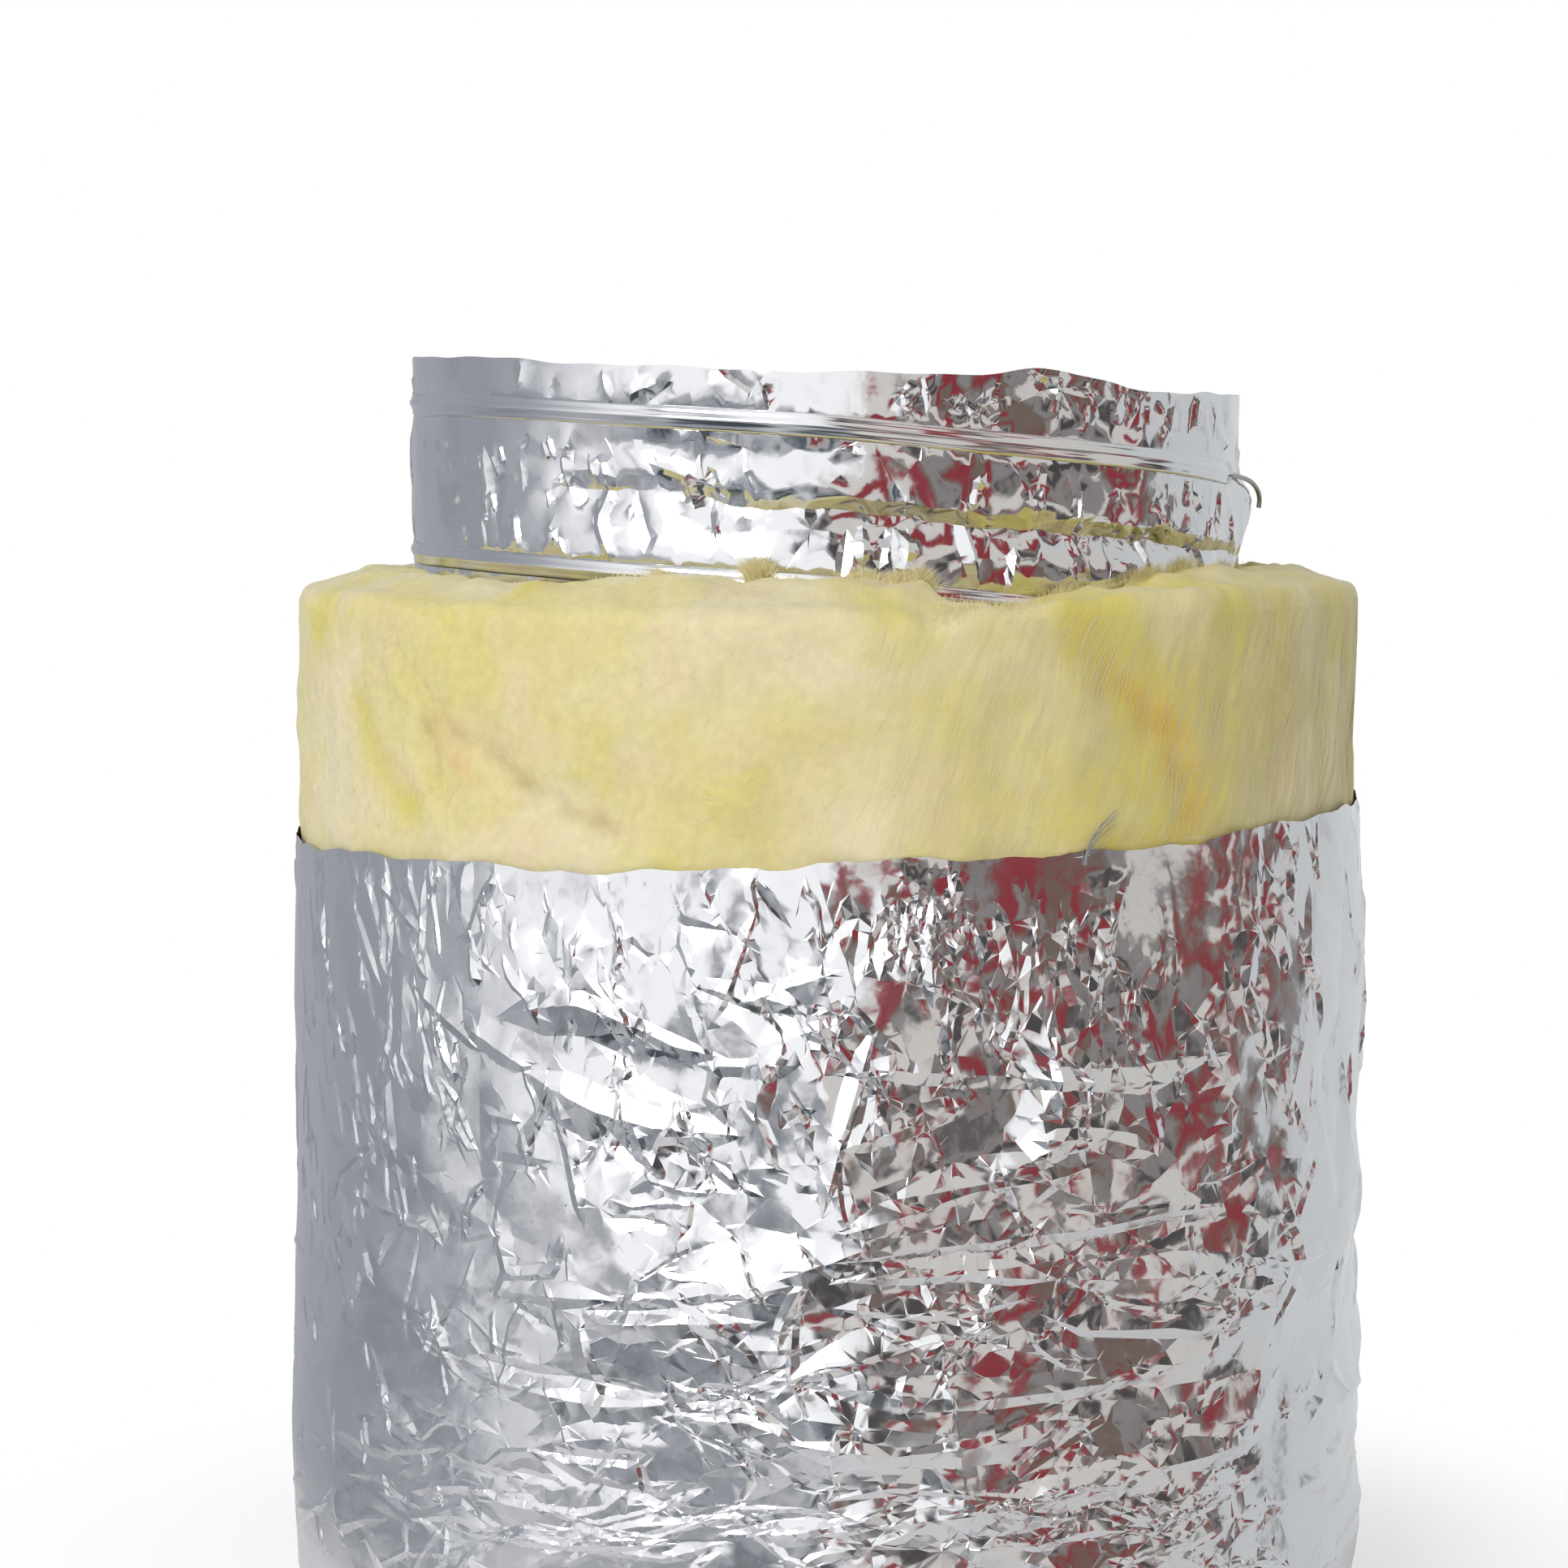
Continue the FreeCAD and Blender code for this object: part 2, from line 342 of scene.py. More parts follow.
# of each crease: how far its flanks reach, how far its crest stands, and the angles and heights it passes
film_pinches = [
    (2.0, 1.5, (17, 287), (18, 276), (19, 266)), (1.7, 1.3, (24, 277), (23, 266)),
    (2.0, 1.5, (34, 291), (33, 280), (34, 272), (35, 265)), (1.7, 1.3, (46, 281), (46, 270)),
    (1.6, 1.0, (40, 290), (40, 279)), (2.2, 1.2, (10, 280), (9, 270)), (1.7, 1.1, (4, 283), (4, 272)),
    (1.7, -1.0, (2, 281), (1, 268)), (1.7, 1.2, (60, 278), (60, 270)), (1.5, 0.8, (19, 293), (18, 285)),
    (1.5, -0.8, (7, 281), (6, 272)), (1.5, 0.6, (-45, 285), (-44, 274)), (1.5, 0.7, (-37, 279), (-35, 270)),
    (1.3, 0.5, (-39, 282), (-38, 276)),
    (1.9, 1.0, (-31, 298), (-30, 290), (-31, 283), (-29, 274), (-27, 269)),
    (2.2, -0.8, (-26, 289), (-23, 276)), (1.3, 0.5, (-40, 301), (-39, 296)),
    (1.7, 0.9, (-33, 298), (-31, 290)), (1.5, 0.5, (-43, 319), (-44, 312)),
    (2.0, 0.7, (-30, 317), (-29, 308)), (2.0, 0.6, (-26, 317), (-26, 309)),
    (1.8, -0.7, (-20, 314), (-24, 309)), (2.0, -0.7, (-14, 317), (-9, 311)), (1.5, 0.5, (-9, 314), (-8, 307)),
    (1.7, 0.7, (9, 306), (11, 313)), (1.7, 0.7, (17, 306), (21, 313)), (2.0, 0.8, (30, 317), (30, 305)),
    (2.0, 0.7, (35, 314), (36, 304)), (2.0, 0.7, (52, 313), (50, 300)), (1.2, 0.4, (-52, 283), (-51, 276)),
    (1.0, 0.35, (-57, 281), (-56, 277)), (1.1, 0.35, (-60, 296), (-60, 292)),
    (1.2, 0.45, (-48, 300), (-47, 295)), (1.9, 0.9, (-24, 296), (-19, 293), (-18, 286)),
    (1.7, -0.7, (-16, 295), (-14, 288)), (1.8, -0.8, (28, 295), (26, 286)), (1.8, 0.9, (52, 290), (51, 279)),
    (0.9, 0.35, (-71, 301), (-71, 299)), (0.9, 0.35, (-66, 301), (-66, 298.5)),
    (0.9, 0.35, (-62, 301), (-62, 299)), (1.3, 0.5, (-53, 298), (-52, 293)),
    (1.4, 0.55, (-50, 298), (-48, 292)), (1.3, 0.6, (-39, 302), (-38, 296)),
    (1.2, 0.5, (-36, 300), (-36, 297)), (1.0, 0.4, (-59, 288), (-59, 285.5)),
    (1.3, 0.5, (-50, 289), (-49, 284)), (1.1, 0.45, (-51, 284), (-51, 281)),
    (1.7, 0.75, (-45.5, 283), (-45, 279), (-46, 274)), (1.2, 0.5, (-39.5, 290), (-39, 285)),
    (1.4, 0.6, (-39, 282), (-37.5, 279), (-41, 273)), (1.5, 0.7, (-35, 275), (-34.5, 271)),
    (1.2, 0.5, (-43, 272), (-42.5, 269.5)), (1.1, 0.45, (-37.5, 293), (-37, 290.5)),
    (1.6, -0.7, (56, 293), (55, 284)), (1.6, 0.8, (66, 290), (66, 278)), (1.4, 0.6, (72, 284), (73, 275)),
]
film_creases = placed_creases(film_rng, film_u, film_pinches)
for _ in range(1000):
    angle, z = film_rng.uniform(-176, 176), film_rng.uniform(2, 318)
    below = below_wire(angle, z)
    crowded = film_crumple(angle) * (1 if z > wool_hides else 0.4)
    if below < 4.5 or below > 33 or film_rng.random() > crowded:
        continue
    mid_bay = 12 < below < 27
    tilt = math.radians(film_rng.normal(90, 14 if mid_bay else 38))
    length = film_rng.uniform(6, 16) if mid_bay else film_rng.uniform(4, 11)
    half = min(length / 2, min(below - 3.5, 34 - below) / max(0.2, abs(math.sin(tilt))))
    reach = film_rng.uniform(1.1, 2.6)
    u, bend = film_u(angle), film_rng.normal(0, half * 0.15)
    c, s = math.cos(tilt), math.sin(tilt)
    lift = film_rng.choice([1, 1, -0.8]) * reach * film_rng.uniform(0.16, 0.4)
    spots = [(u - c * half, z - s * half), (u - s * bend, z + c * bend), (u + c * half, z + s * half)]
    film_creases.append(Crease(film_rng, spots, reach, lift))
rim_rng = np.random.default_rng(31)
rim_pinches = [  # the same, where the rim peaks
    (2.3, 0.8, (22, 318), (21, 307)), (2.3, -0.9, (26, 318), (33, 305)), (2.3, 0.9, (38, 316), (40, 303)),
    (2.3, 0.8, (44, 314), (43, 302)), (2.3, 0.8, (14, 317), (12, 307)),
    (2.3, -0.7, (25, 311), (31, 313), (37, 311)), (2.3, 0.8, (47, 306), (52, 311)),
    (2.3, 0.8, (58, 312), (57, 302)), (2.3, 0.6, (64, 311), (65, 301)), (2.3, 0.6, (70, 311), (70, 303)),
]
film_creases += placed_creases(rim_rng, film_u, rim_pinches)

film_rows = []  # fold lines that follow the wire round the sheet, and the valley between two turns
for turn in range(-1, 9):
    a = np.arange(-179.4, 179.5, 1.6)
    valley = valley_place(film_u(a), turn)
    for place in (0.0, 1.2, 2.7, 5.5, valley - 3.2, valley - 1.6, valley, valley + 2.2, 33.4):
        v = wire_front - wire_fall * a - place - wire_pitch * turn
        row = np.column_stack([film_u(a), v - wire_sag(a, v)])
        row = row[(row[:, 1] > 0.8) & (row[:, 1] < 330)]
        if len(row) > 2:
            film_rows.append(row)

bay_facets = FacetNet(film_rng, film_long, 326,
                      lambda u, v: 12.5 - 3.5 * film_crumple(film_angle(u)),
                      lambda v: 0.62 + 0 * v,
                      lambda q: 0.06 + 0.5 * film_crumple(film_angle(q[:, 0])))
side = np.linspace(0, float(film_top(np.array([0.0]))[0]), 110)[1:-1]
top_u = np.linspace(film_long, 0, 292)
outline = [(u, 0) for u in np.linspace(0, film_long, 240)] + [(film_long, v) for v in side]
outline += list(zip(top_u, film_top(top_u))) + [(0, v) for v in side[::-1]]
core_film = creased_sheet("core_film", outline, [bay_facets], film_creases,
                          lambda q: np.where(q[:, 1] > wool_hides, 3.0, 5.5),
                          lambda q: 0.05 * film_crumple(film_angle(q[:, 0])), 8, film_rows)
u, v, h = mesh_points(core_film).T
angle = film_angle(u)
below = below_wire(angle, v)
turn = np.floor((wire_level(angle, v) - v) / wire_pitch)
valley = np.empty(len(u))
for number in np.unique(turn):
    valley[turn == number] = valley_place(u[turn == number], number)
# the place in the bay, stretched so that the wavering valley lies at one depth
even_valley = 18.6
place = np.where(below < valley, below / valley * even_valley,
                 wire_pitch - (wire_pitch - below) / (wire_pitch - valley) * (wire_pitch - even_valley))
# the film's stand off its radius down one bay, where it is calm, at the left and at the right
bay_depth = [0, 1.2, 2.7, 5.5, 9.0, 13.5, 15.4, 17.0, 18.6, 20.5, 25.5, 31.0, 33.4, 36.0]
bay_calm = [0, 0.2, 0.85, 1.25, 1.45, 1.45, 1.4, 1.35, 1.3, 1.35, 1.45, 1.3, 0.88, 0.0]
bay_left = [0, 0.2, 0.85, -0.3, -0.9, -0.6, -1.3, -1.9, -2.6, -2.2, 0.2, 1.2, 0.88, 0.0]
bay_right = [0, 0.2, 0.85, 0.9, 0.7, 0.4, 0.1, -1.2, -2.6, -1.7, 0.9, 1.2, 0.88, 0.0]
left_share = np.interp(angle, [-180, -165, -150, -120, -105, -100, -72, -60, -42, -34, -12, 4, 150, 165, 180],
                       [0, 0.2, 0.7, 0.8, 0.3, 0, 0, 0.22, 0.3, 0.85, 0.85, 0, 0, 0.4, 0])
right_share = np.interp(angle, [-100, -12, 4, 48, 66, 105, 125, 150, 165, 180],
                        [0, 0, 1, 1, 0.4, 0.3, 0.8, 0.7, 0.3, 0])
sheet_points = np.column_stack([u, v, 0 * u])
uneven = 1 + 0.4 * soft_noise(sheet_points, 13, 2) + 0.4 * soft_noise(sheet_points, 6, 3)
# how far the calm film stands out to its tapes
slack = np.interp(angle, [-100, -60, 40, 66, 120, 150], [0.85, 1, 1, 0.15, 0.4, 1])
calm = np.interp(place, bay_depth, bay_calm) * slack
drawn = (left_share * (np.interp(place, bay_depth, bay_left) - calm)
         + right_share * (np.interp(place, bay_depth, bay_right) - calm))
swell = calm + drawn * np.clip(uneven, 0.3, 1.25)
above = v - wire_level(angle, v)
to_rim = np.interp(above, [0, 1.2, 2.6, 6, 12], [0, 0.2, 0.88, 1.2, 1.25])
swell = np.where(above > 0, to_rim * np.maximum(slack, 0.4), swell)
# the sprung end of the wire pulls the film out at the right
pulled = 3.4 * np.exp(-((angle - 86) / np.where(angle < 86, 9, 15)) ** 2
                      - ((v - 286) / np.where(v > 288, 5, 11)) ** 2)
fold = np.clip(np.minimum(u, film_long - u) / 6, 0, 1)
quiet = np.clip(np.minimum(below, wire_pitch - below) / 5, 0, 1)
crumple = (np.clip(h, -1.6, 1.9) + 0.1 * soft_noise(sheet_points, 8, 4)) * fold * quiet
inside_wool = 103.92
radius = np.minimum(film_radius + swell + crumple, inside_wool) + pulled


def lay_out_sheet(piece, u, v):
    # The UV map "sheet" holds the place in the flat sheet, in metres
    loops = np.empty(len(piece.data.loops), int)
    piece.data.loops.foreach_get("vertex_index", loops)
    sheet_map = piece.data.uv_layers.new(name="sheet")
    sheet_map.data.foreach_set("uv", (np.column_stack([u, v])[loops] / 1000).ravel())


def roll_up(piece, radius, angle, v, merge=0.0):
    # The flat sheet rolled round the duct: angle is from the front towards +X
    a = np.radians(angle)
    move_points(piece, np.column_stack([radius * np.sin(a), -radius * np.cos(a), v]) / 1000)
    select_only(piece)
    face_outwards(merge)


lay_out_sheet(core_film, u, v)
roll_up(core_film, radius, angle, v, 0.00002)
bpy.ops.object.shade_smooth_by_angle(angle=math.radians(20))


def foil_material(name, roughness, facet, bump):
    # Aluminium under clear polyester film: a mirror, a little clouded by handling, so each facet
    # shows one tone of the room. Only its finest dents, 6 mm wide, and ripples, 3 mm wide, are drawn
    # in the shading.
    dent, ripple = 0.006, 0.003
    foil, add = new_material(name)
    place = add("UVMap", uv_map="sheet")
    dent_size = add("Mapping", {"Vector": place, "Scale": (1 / dent, 1 / dent, 1)})
    dents = add("TexVoronoi", {"Vector": dent_size, "Scale": 1.0}, voronoi_dimensions="2D")
    tilt = add("Mix", {"Factor": facet, 6: (0.5, 0.5, 1, 1), 7: dents.outputs["Color"]}, data_type="RGBA")
    flat = add("VectorMath", {0: tilt.outputs[2], 1: (1, 1, 0)}, operation="MULTIPLY")
    upright = add("VectorMath", {0: flat, 1: (0, 0, 1)}, operation="ADD")
    dented = add("NormalMap", {"Color": upright, "Strength": 1.0}, uv_map="sheet", space="TANGENT")
    ripple_size = add("Mapping", {"Vector": place, "Scale": (1 / ripple, 1 / ripple, 1)})
    ripples = add("TexNoise", {"Vector": ripple_size, "Scale": 1.0, "Detail": 1.0}, noise_dimensions="2D")
    rippled = add("Bump", {"Height": ripples, "Distance": 0.0001, "Strength": bump, "Normal": dented})
    shader = add("BsdfPrincipled", {"Base Color": linear("E4E5E8"), "Metallic": 1.0,
                                    "Roughness": roughness, "Normal": rippled})
    add("OutputMaterial", {"Surface": shader})
    return foil


core_foil = foil_material("core_polyester_foil", 0.09, 0.012, 0.2)
core_film.data.materials.append(core_foil)
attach(core_film, "core")
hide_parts("film_tube")

# ---- Spring wire ----
# One length of galvanised spring steel wire, 1.2 mm thick, wound into a coil at a 36 mm pitch
# under its cover tape. It keeps the duct round and lets it stretch and bend.
helix_radius = 102.55
wire_thick = 1.2
coil_from, coil_to = 87.4, 3010  # degrees: from where the wire has sprung out, down to its foot


def wound(name, profile, first, last, steps_per_turn):
    # The profile, radius and height pairs in millimetres, wound down the coil from one angle to the other
    start, height = math.radians(first), wire_front - wire_fall * first
    points = [(r * math.sin(start) / 1000, -r * math.cos(start) / 1000, (height + z) / 1000)
              for r, z in profile]
    piece = piece_from(name, points, ring(len(points)))
    turns = (last - first) / 360
    winding = piece.modifiers.new("winding", "SCREW")
    winding.angle = math.radians(last - first)
    winding.screw_offset = -turns * wire_pitch / 1000
    winding.steps = winding.render_steps = int(turns * steps_per_turn)
    winding.use_smooth_shade = True
    bpy.ops.object.modifier_apply(modifier="winding")
    face_outwards(hole_sides=64)
    x, y, z = mesh_points(piece).T
    z = z - wire_sag(np.degrees(np.arctan2(x, -y)), z * 1000) / 1000
    move_points(piece, np.column_stack([x, y, z]))
    return piece


wire_section = [(helix_radius + wire_thick / 2 * math.cos(t), wire_thick / 2 * math.sin(t))
                for t in np.linspace(0, 2 * math.pi, 12, endpoint=False)]
spring_wire = wound("spring_wire", wire_section, coil_from, coil_to, 104)
# galvanised spring steel: a dull grey metal, drawn smooth
steel, add = new_material("galvanised_spring_steel")
grain_place = add("TexCoord")
grain = add("TexNoise", {"Vector": grain_place.outputs["Object"], "Scale": 900.0, "Detail": 2.0})
steel_rough = add("MapRange", {"Value": grain, "To Min": 0.25, "To Max": 0.42})
shader = add("BsdfPrincipled", {"Base Color": linear("A3A29E"), "Metallic": 1.0, "Roughness": steel_rough})
add("OutputMaterial", {"Surface": shader})
spring_wire.data.materials.append(steel)
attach(spring_wire, "core")
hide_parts("wire_helix")

# ---- Cover tape ----
# A narrow strip of the same foil is wound over the wire and bonded down on both sides of it, so
# each turn shows as a round bead with a flat foot above and below. The strip's last turn, at the
# top, is a separate length that stops where the wire has sprung out.
tape_section = [(102.82, 2.6), (102.95, 2.6), (102.98, 1.75), (103.25, 0.95), (103.55, 0.5), (103.65, 0.05),
                (103.55, -0.4), (103.22, -0.9), (102.95, -1.7), (102.93, -2.6), (102.8, -2.6), (102.82, -1.8),
                (103.0, -0.85), (103.3, -0.35), (103.4, 0.05), (103.3, 0.4), (103.0, 0.85), (102.82, 1.7)]
for name, node, first, last in (("cover_tape", "wire_tape", coil_from, coil_to),
                                ("cover_tape_end_turn", "end_turn_tape", -122, 71)):
    tape = wound(name, tape_section, first, last, 120)
    tape.data.materials.append(core_foil)
    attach(tape, "core")
    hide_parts(node)

# ---- Sprung wire end ----
# The coil's cut end has torn through its tape at the right of the top turn. It stands off the
# film by about two millimetres and hooks downwards.


def round_duct(angle, radius, height):
    # A place in metres, from an angle in degrees, and a radius and height in millimetres
    a = math.radians(angle)
    return Vector((radius * math.sin(a), -radius * math.cos(a), height)) / 1000


def on_coil(angle):
    height = wire_front - wire_fall * angle
    return round_duct(angle, helix_radius, height - wire_sag(angle, height))


def bent_rod(name, path, radius, order, round_steps):
    # A round rod, still a curve, that runs smoothly along a path in metres
    curve = bpy.data.curves.new(name, "CURVE")
    curve.dimensions = "3D"
    line = curve.splines.new("NURBS")
    line.points.add(len(path) - 1)
    for point, p in zip(line.points, path):
        point.co = (*p, 1)
    line.order_u = order
    line.use_endpoint_u = True
    curve.bevel_depth = radius
    curve.bevel_resolution = round_steps
    curve.use_fill_caps = True
    rod = bpy.data.objects.new(name, curve)
    bpy.context.scene.collection.objects.link(rod)
    return rod


tear_angle = 74
tear = on_coil(tear_angle)
onward = (on_coil(tear_angle + 0.1) - tear).normalized()
outward = Vector((math.sin(math.radians(tear_angle)), -math.cos(math.radians(tear_angle)), 0))
# the free end from the tear, in millimetres: onward, outward and up
hook = [(5, 0.2, -0.1), (11, 0.7, -0.2), (16.5, 1.3, -0.5), (20.5, 1.8, -1.3), (23.5, 2.2, -2.4),
        (25.2, 2.4, -3.9), (25.7, 2.4, -5.4), (25.6, 2.2, -6.8)]
path = [on_coil(a) for a in np.arange(-122, tear_angle, 3.5)]
path += [tear + (onward * a + outward * b + Vector((0, 0, c))) / 1000 for a, b, c in hook]
wire_end = bent_rod("sprung_wire_end", path, wire_thick / 2 / 1000, 3, 3)
wire_end.data.splines[0].resolution_u = 3
select_only(wire_end)
bpy.ops.object.convert(target="MESH")
wire_end = bpy.context.object
bpy.ops.object.shade_smooth()
wire_end.data.materials.append(steel)
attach(wire_end, "core")
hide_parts("wire_end_turn")

# ---- Glass wool blanket ----
# A blanket of crimped glass fibres, cut to length and wrapped once round the core, so that its two
# ends butt in an upright joint at the front left. The binder colours it cream to yellow. It is
# soft: it swells in lumps where it stands free of the jacket, and its top is cut and pulled ragged.
wool_in, wool_out, wool_top, corner = 104.1, 131.2, 263.0, 4.0
section = [(wool_in, z) for z in np.linspace(0, 262, 48)]
section += [(r, wool_top) for r in np.linspace(wool_in + 0.7, wool_out - corner, 18)]
section += [(wool_out - corner + corner * math.sin(t), wool_top - corner + corner * math.cos(t))
            for t in np.linspace(0.25, math.pi / 2, 6)]
section += [(wool_out, z) for z in np.linspace(257, 1.5, 128)]
section += [(r, 0) for r in np.linspace(wool_out - 1.5, wool_in + 1.2, 12)]
wool = piece_from("wool_blanket", [(r / 1000, 0, z / 1000) for r, z in section], ring(len(section)))
lathe = wool.modifiers.new("lathe", "SCREW")
lathe.steps = lathe.render_steps = 440
lathe.use_merge_vertices = True
lathe.merge_threshold = 0.00001
lathe.use_smooth_shade = True
bpy.ops.object.modifier_apply(modifier="lathe")
face_outwards()
wool_points = mesh_points(wool) * 1000
x, y, z = wool_points.T
r = np.hypot(x, y)
angle = np.degrees(np.arctan2(x, -y))


def near_line(spots, width):
    # 1 on the line through the angle and height pairs, fading to 0 beyond the width
    line = np.array([(math.radians(a) * wool_out, h) for a, h in spots])
    q = np.column_stack([np.radians(angle) * wool_out, z])
    best = np.full(len(q), 1e9)
    for a, b in zip(line[:-1], line[1:]):
        d = b - a
        t = np.clip(((q - a) @ d) / (d @ d), 0, 1)
        best = np.minimum(best, np.hypot(*(q - a - t[:, None] * d).T))
    return np.exp(-(best / width) ** 2)


broad, middling = soft_noise(wool_points, 24, 3), soft_noise(wool_points, 10, 5)
small = soft_noise(wool_points, 4.5, 9)
joint_line = np.interp(z, [205, 215, 224, 230, 234, 240, 247, 258],
                       [-39, -41, -44, -45.4, -45, -43.8, -48, -51])
joint_side = (angle - joint_line) * math.radians(wool_out)  # right of the joint, in millimetres
joint_deep = np.interp(z, [211, 220, 228, 236, 243, 250, 256], [0.1, 0.4, 0.9, 1, 0.7, 0.35, 0.1])
joint = joint_deep * np.where(joint_side > 0, np.exp(-(joint_side / 7) ** 2),
                              np.exp(-(joint_side / 1.6) ** 2))
lip = joint_deep * np.exp(-((joint_side + 4.5) / 3.5) ** 2)
ochre = near_line([(25, 258), (28, 250), (33, 242), (36, 234), (38, 220)], 6)
valley = near_line([(-38, 236), (-34, 229), (-30, 223), (-22, 220), (-12, 216), (-6, 214)], 6)
hollow = near_line([(-58, 240), (-53, 227), (-48, 217)], 5)
swell = -0.5 + 1.7 * broad + 0.8 * middling + 0.3 * small + lip
pressed_in = 1.3 * ochre * (1 + 0.6 * small)
swell = np.minimum(swell, 0.45 + 0.3 * small) - 2.6 * joint - pressed_in - 1.7 * valley - hollow
swell = np.maximum(swell, np.interp(np.abs(angle), [74, 82], [-9, -0.3]))
jacket_cut = 208.5                         # height of the jacket's cut edge at the front
jacket_slope = math.tan(math.radians(2))   # and its climb to the right
rim = jacket_cut + wool_out * np.sin(np.radians(angle)) * jacket_slope
swell += (0.5 * np.exp(-((z - rim - 5) / 5) ** 2)
          + 0.8 * np.exp(-((angle + 86) / 24) ** 2 - ((z - 236) / 15) ** 2)
          + 1.2 * np.exp(-((angle - 92) / 32) ** 2) * np.interp(z, [218, 252], [0, 1]))
bare = np.clip((z - rim + 3) / 4, 0, 1)
covered = np.minimum(-0.25 + 0.5 * broad + 0.2 * small, 0.1)
outer = np.clip((r - (wool_out - 9)) / 9, 0, 1)
# the outer edge of the top and its ledge against the core, in heights at angles
edge = np.interp(angle, [-180, -100, -60, -34, 2, 7, 10, 13, 17, 31, 42, 60, 110, 180],
                 [265, 264, 265, 264, 264, 263.5, 260.5, 263.5, 265, 267, 268, 267, 264, 265])
ledge = np.interp(angle,
                  [-180, -120, -58, -45, -30, -20, -6, 4, 11, 13, 18, 24, 29, 34, 38, 43, 50, 63, 110, 180],
                  [267, 268, 269, 268, 268.5, 271, 269, 270, 269, 265.5,
                   264, 264, 266.5, 267.5, 266, 269, 271, 270, 268, 267])
inward = np.clip((wool_out - r) / 18, 0, 1)
inward = inward * inward * (3 - 2 * inward)
crown = edge + (ledge - edge) * inward - wool_top + 1.3 * middling * (0.4 + inward) + 0.7 * small
top_share = np.clip((z - 240) / 22, 0, 1) ** 2
# pressed back from the core where the wire's sprung end and the film over it must pass
pressed = 5.6 * np.exp(-((angle - 87) / np.where(angle < 87, 8, 11)) ** 2)
pressed = pressed * np.clip((z - 226) / 9, 0, 1) * np.clip((119 - r) / 15, 0, 1)
new_r = r + pressed + outer * (bare * swell + (1 - bare) * covered)
new_z = z + top_share * crown + np.where(z < 1, 0.4 * np.abs(small), 0)
wool_points = np.column_stack([x / r * new_r, y / r * new_r, new_z]) / 1000
move_points(wool, wool_points)


def paint(piece, name, values):
    painted = piece.data.attributes.new(name, "FLOAT", "POINT")
    painted.data.foreach_set("value", np.clip(values, 0, 1))


yellow = 0.75 * hollow + 0.8 * near_line([(26, 258), (30, 247), (35, 236), (38, 220)], 11)
yellow += np.interp(angle, [5, 18, 45, 60], [0, 0.25, 0.25, 0.1])
yellow_spots = [  # angle, height, size and strength
    (-68, 256, 9, 0.8), (-33, 257, 9, 0.6), (53, 258, 8, 0.6), (38, 222, 15, 0.6), (24, 226, 12, 0.5),
    (-12, 234, 16, 0.3), (-36, 266, 5, 0.6), (27, 212, 7, 0.6), (-24, 222, 9, 0.3)]
for a, h, size, level in yellow_spots:
    yellow += level * np.exp(-((np.radians(angle - a) * wool_out) ** 2 + (z - h) ** 2) / size ** 2)
# painted highlight: less yellow, so paler, on the lobe below the diagonal crease, where it stands proud in
# the light
yellow -= 0.5 * near_line([(-40, 222), (-35, 219), (-30, 215)], 7)
paint(wool, "tint", yellow)
ragged = soft_noise(wool_points * 1000 + 50, 6, 12)
upper = 0.8 * ochre * np.interp(z, [240, 256], [1, 0.3]) * np.clip(0.75 + 0.9 * ragged, 0, 1)
paint(wool, "deep", upper + 0.3 * near_line([(25, 211), (38, 212)], 3))
# painted shade: a peach tint down the right flank of the joint's groove, for the warm shade in it
joint_groove_shade = 0.75 * near_line([(-42.5, 236), (-41, 232), (-39.5, 228)], 4)
paint(wool, "peach", joint_groove_shade * np.clip(0.8 + ragged, 0, 1))
# painted shade along the diagonal crease and down the joint, where the folds shade the wool
painted_crease_shade = (near_line([(-41, 236), (-35, 229.5), (-31, 223.5), (-27, 219.5), (-22, 216.5)], 2.2)
             + 0.8 * near_line([(-45, 245), (-45, 238), (-44, 230), (-43.5, 225)], 1.4))
paint(wool, "shade_in_creases", painted_crease_shade * np.clip(0.6 + ragged, 0, 1))
paint(wool, "combed", np.interp(angle, [-180, -60, -5, 12, 180], [0.6, 0.2, 0.2, 1, 1]))

# glass wool with its binder: dull, soft and cloudy, cream with yellow and pinkish patches, and on
# the right faintly streaked by strands that all lean one way; painted shade, tan in the creases and peach
# beside the joint, and a painted highlight, paler on one lobe, are laid into its colour
batt, add = new_material("glass_wool_batt")
place = add("TexCoord")
parts = add("SeparateXYZ", {0: place.outputs["Object"]})
behind = add("Math", {0: parts.outputs["Y"], 1: -1.0}, operation="MULTIPLY")
round_it = add("Math", {0: parts.outputs["X"], 1: behind}, operation="ARCTAN2")
along = add("Math", {0: round_it, 1: wool_out / 1000}, operation="MULTIPLY")
laid_out = add("CombineXYZ", {0: along, 1: parts.outputs["Z"]})
curl = add("TexNoise", {"Vector": place.outputs["Object"], "Scale": 40.0, "Detail": 1.0})
shift = add("VectorMath", {0: curl.outputs["Color"], 1: (0.009, 0.009, 0)}, operation="MULTIPLY")
swept = add("VectorMath", {0: laid_out, 1: shift}, operation="ADD")
strand_lean = (0, 0, math.radians(-20))
leaning = add("Mapping", {"Vector": swept, "Rotation": strand_lean, "Scale": (0.0005, 0.012, 1)},
              vector_type="TEXTURE")
fine_strands = add("TexNoise", {"Vector": leaning, "Scale": 1.0, "Detail": 3.0}, noise_dimensions="2D")
in_locks = add("Mapping", {"Vector": swept, "Rotation": strand_lean, "Scale": (0.003, 0.022, 1)},
               vector_type="TEXTURE")
wide_strands = add("TexNoise", {"Vector": in_locks, "Scale": 1.0, "Detail": 3.0}, noise_dimensions="2D")
strands = add("Mix", {0: 0.45, 2: fine_strands, 3: wide_strands}, data_type="FLOAT")
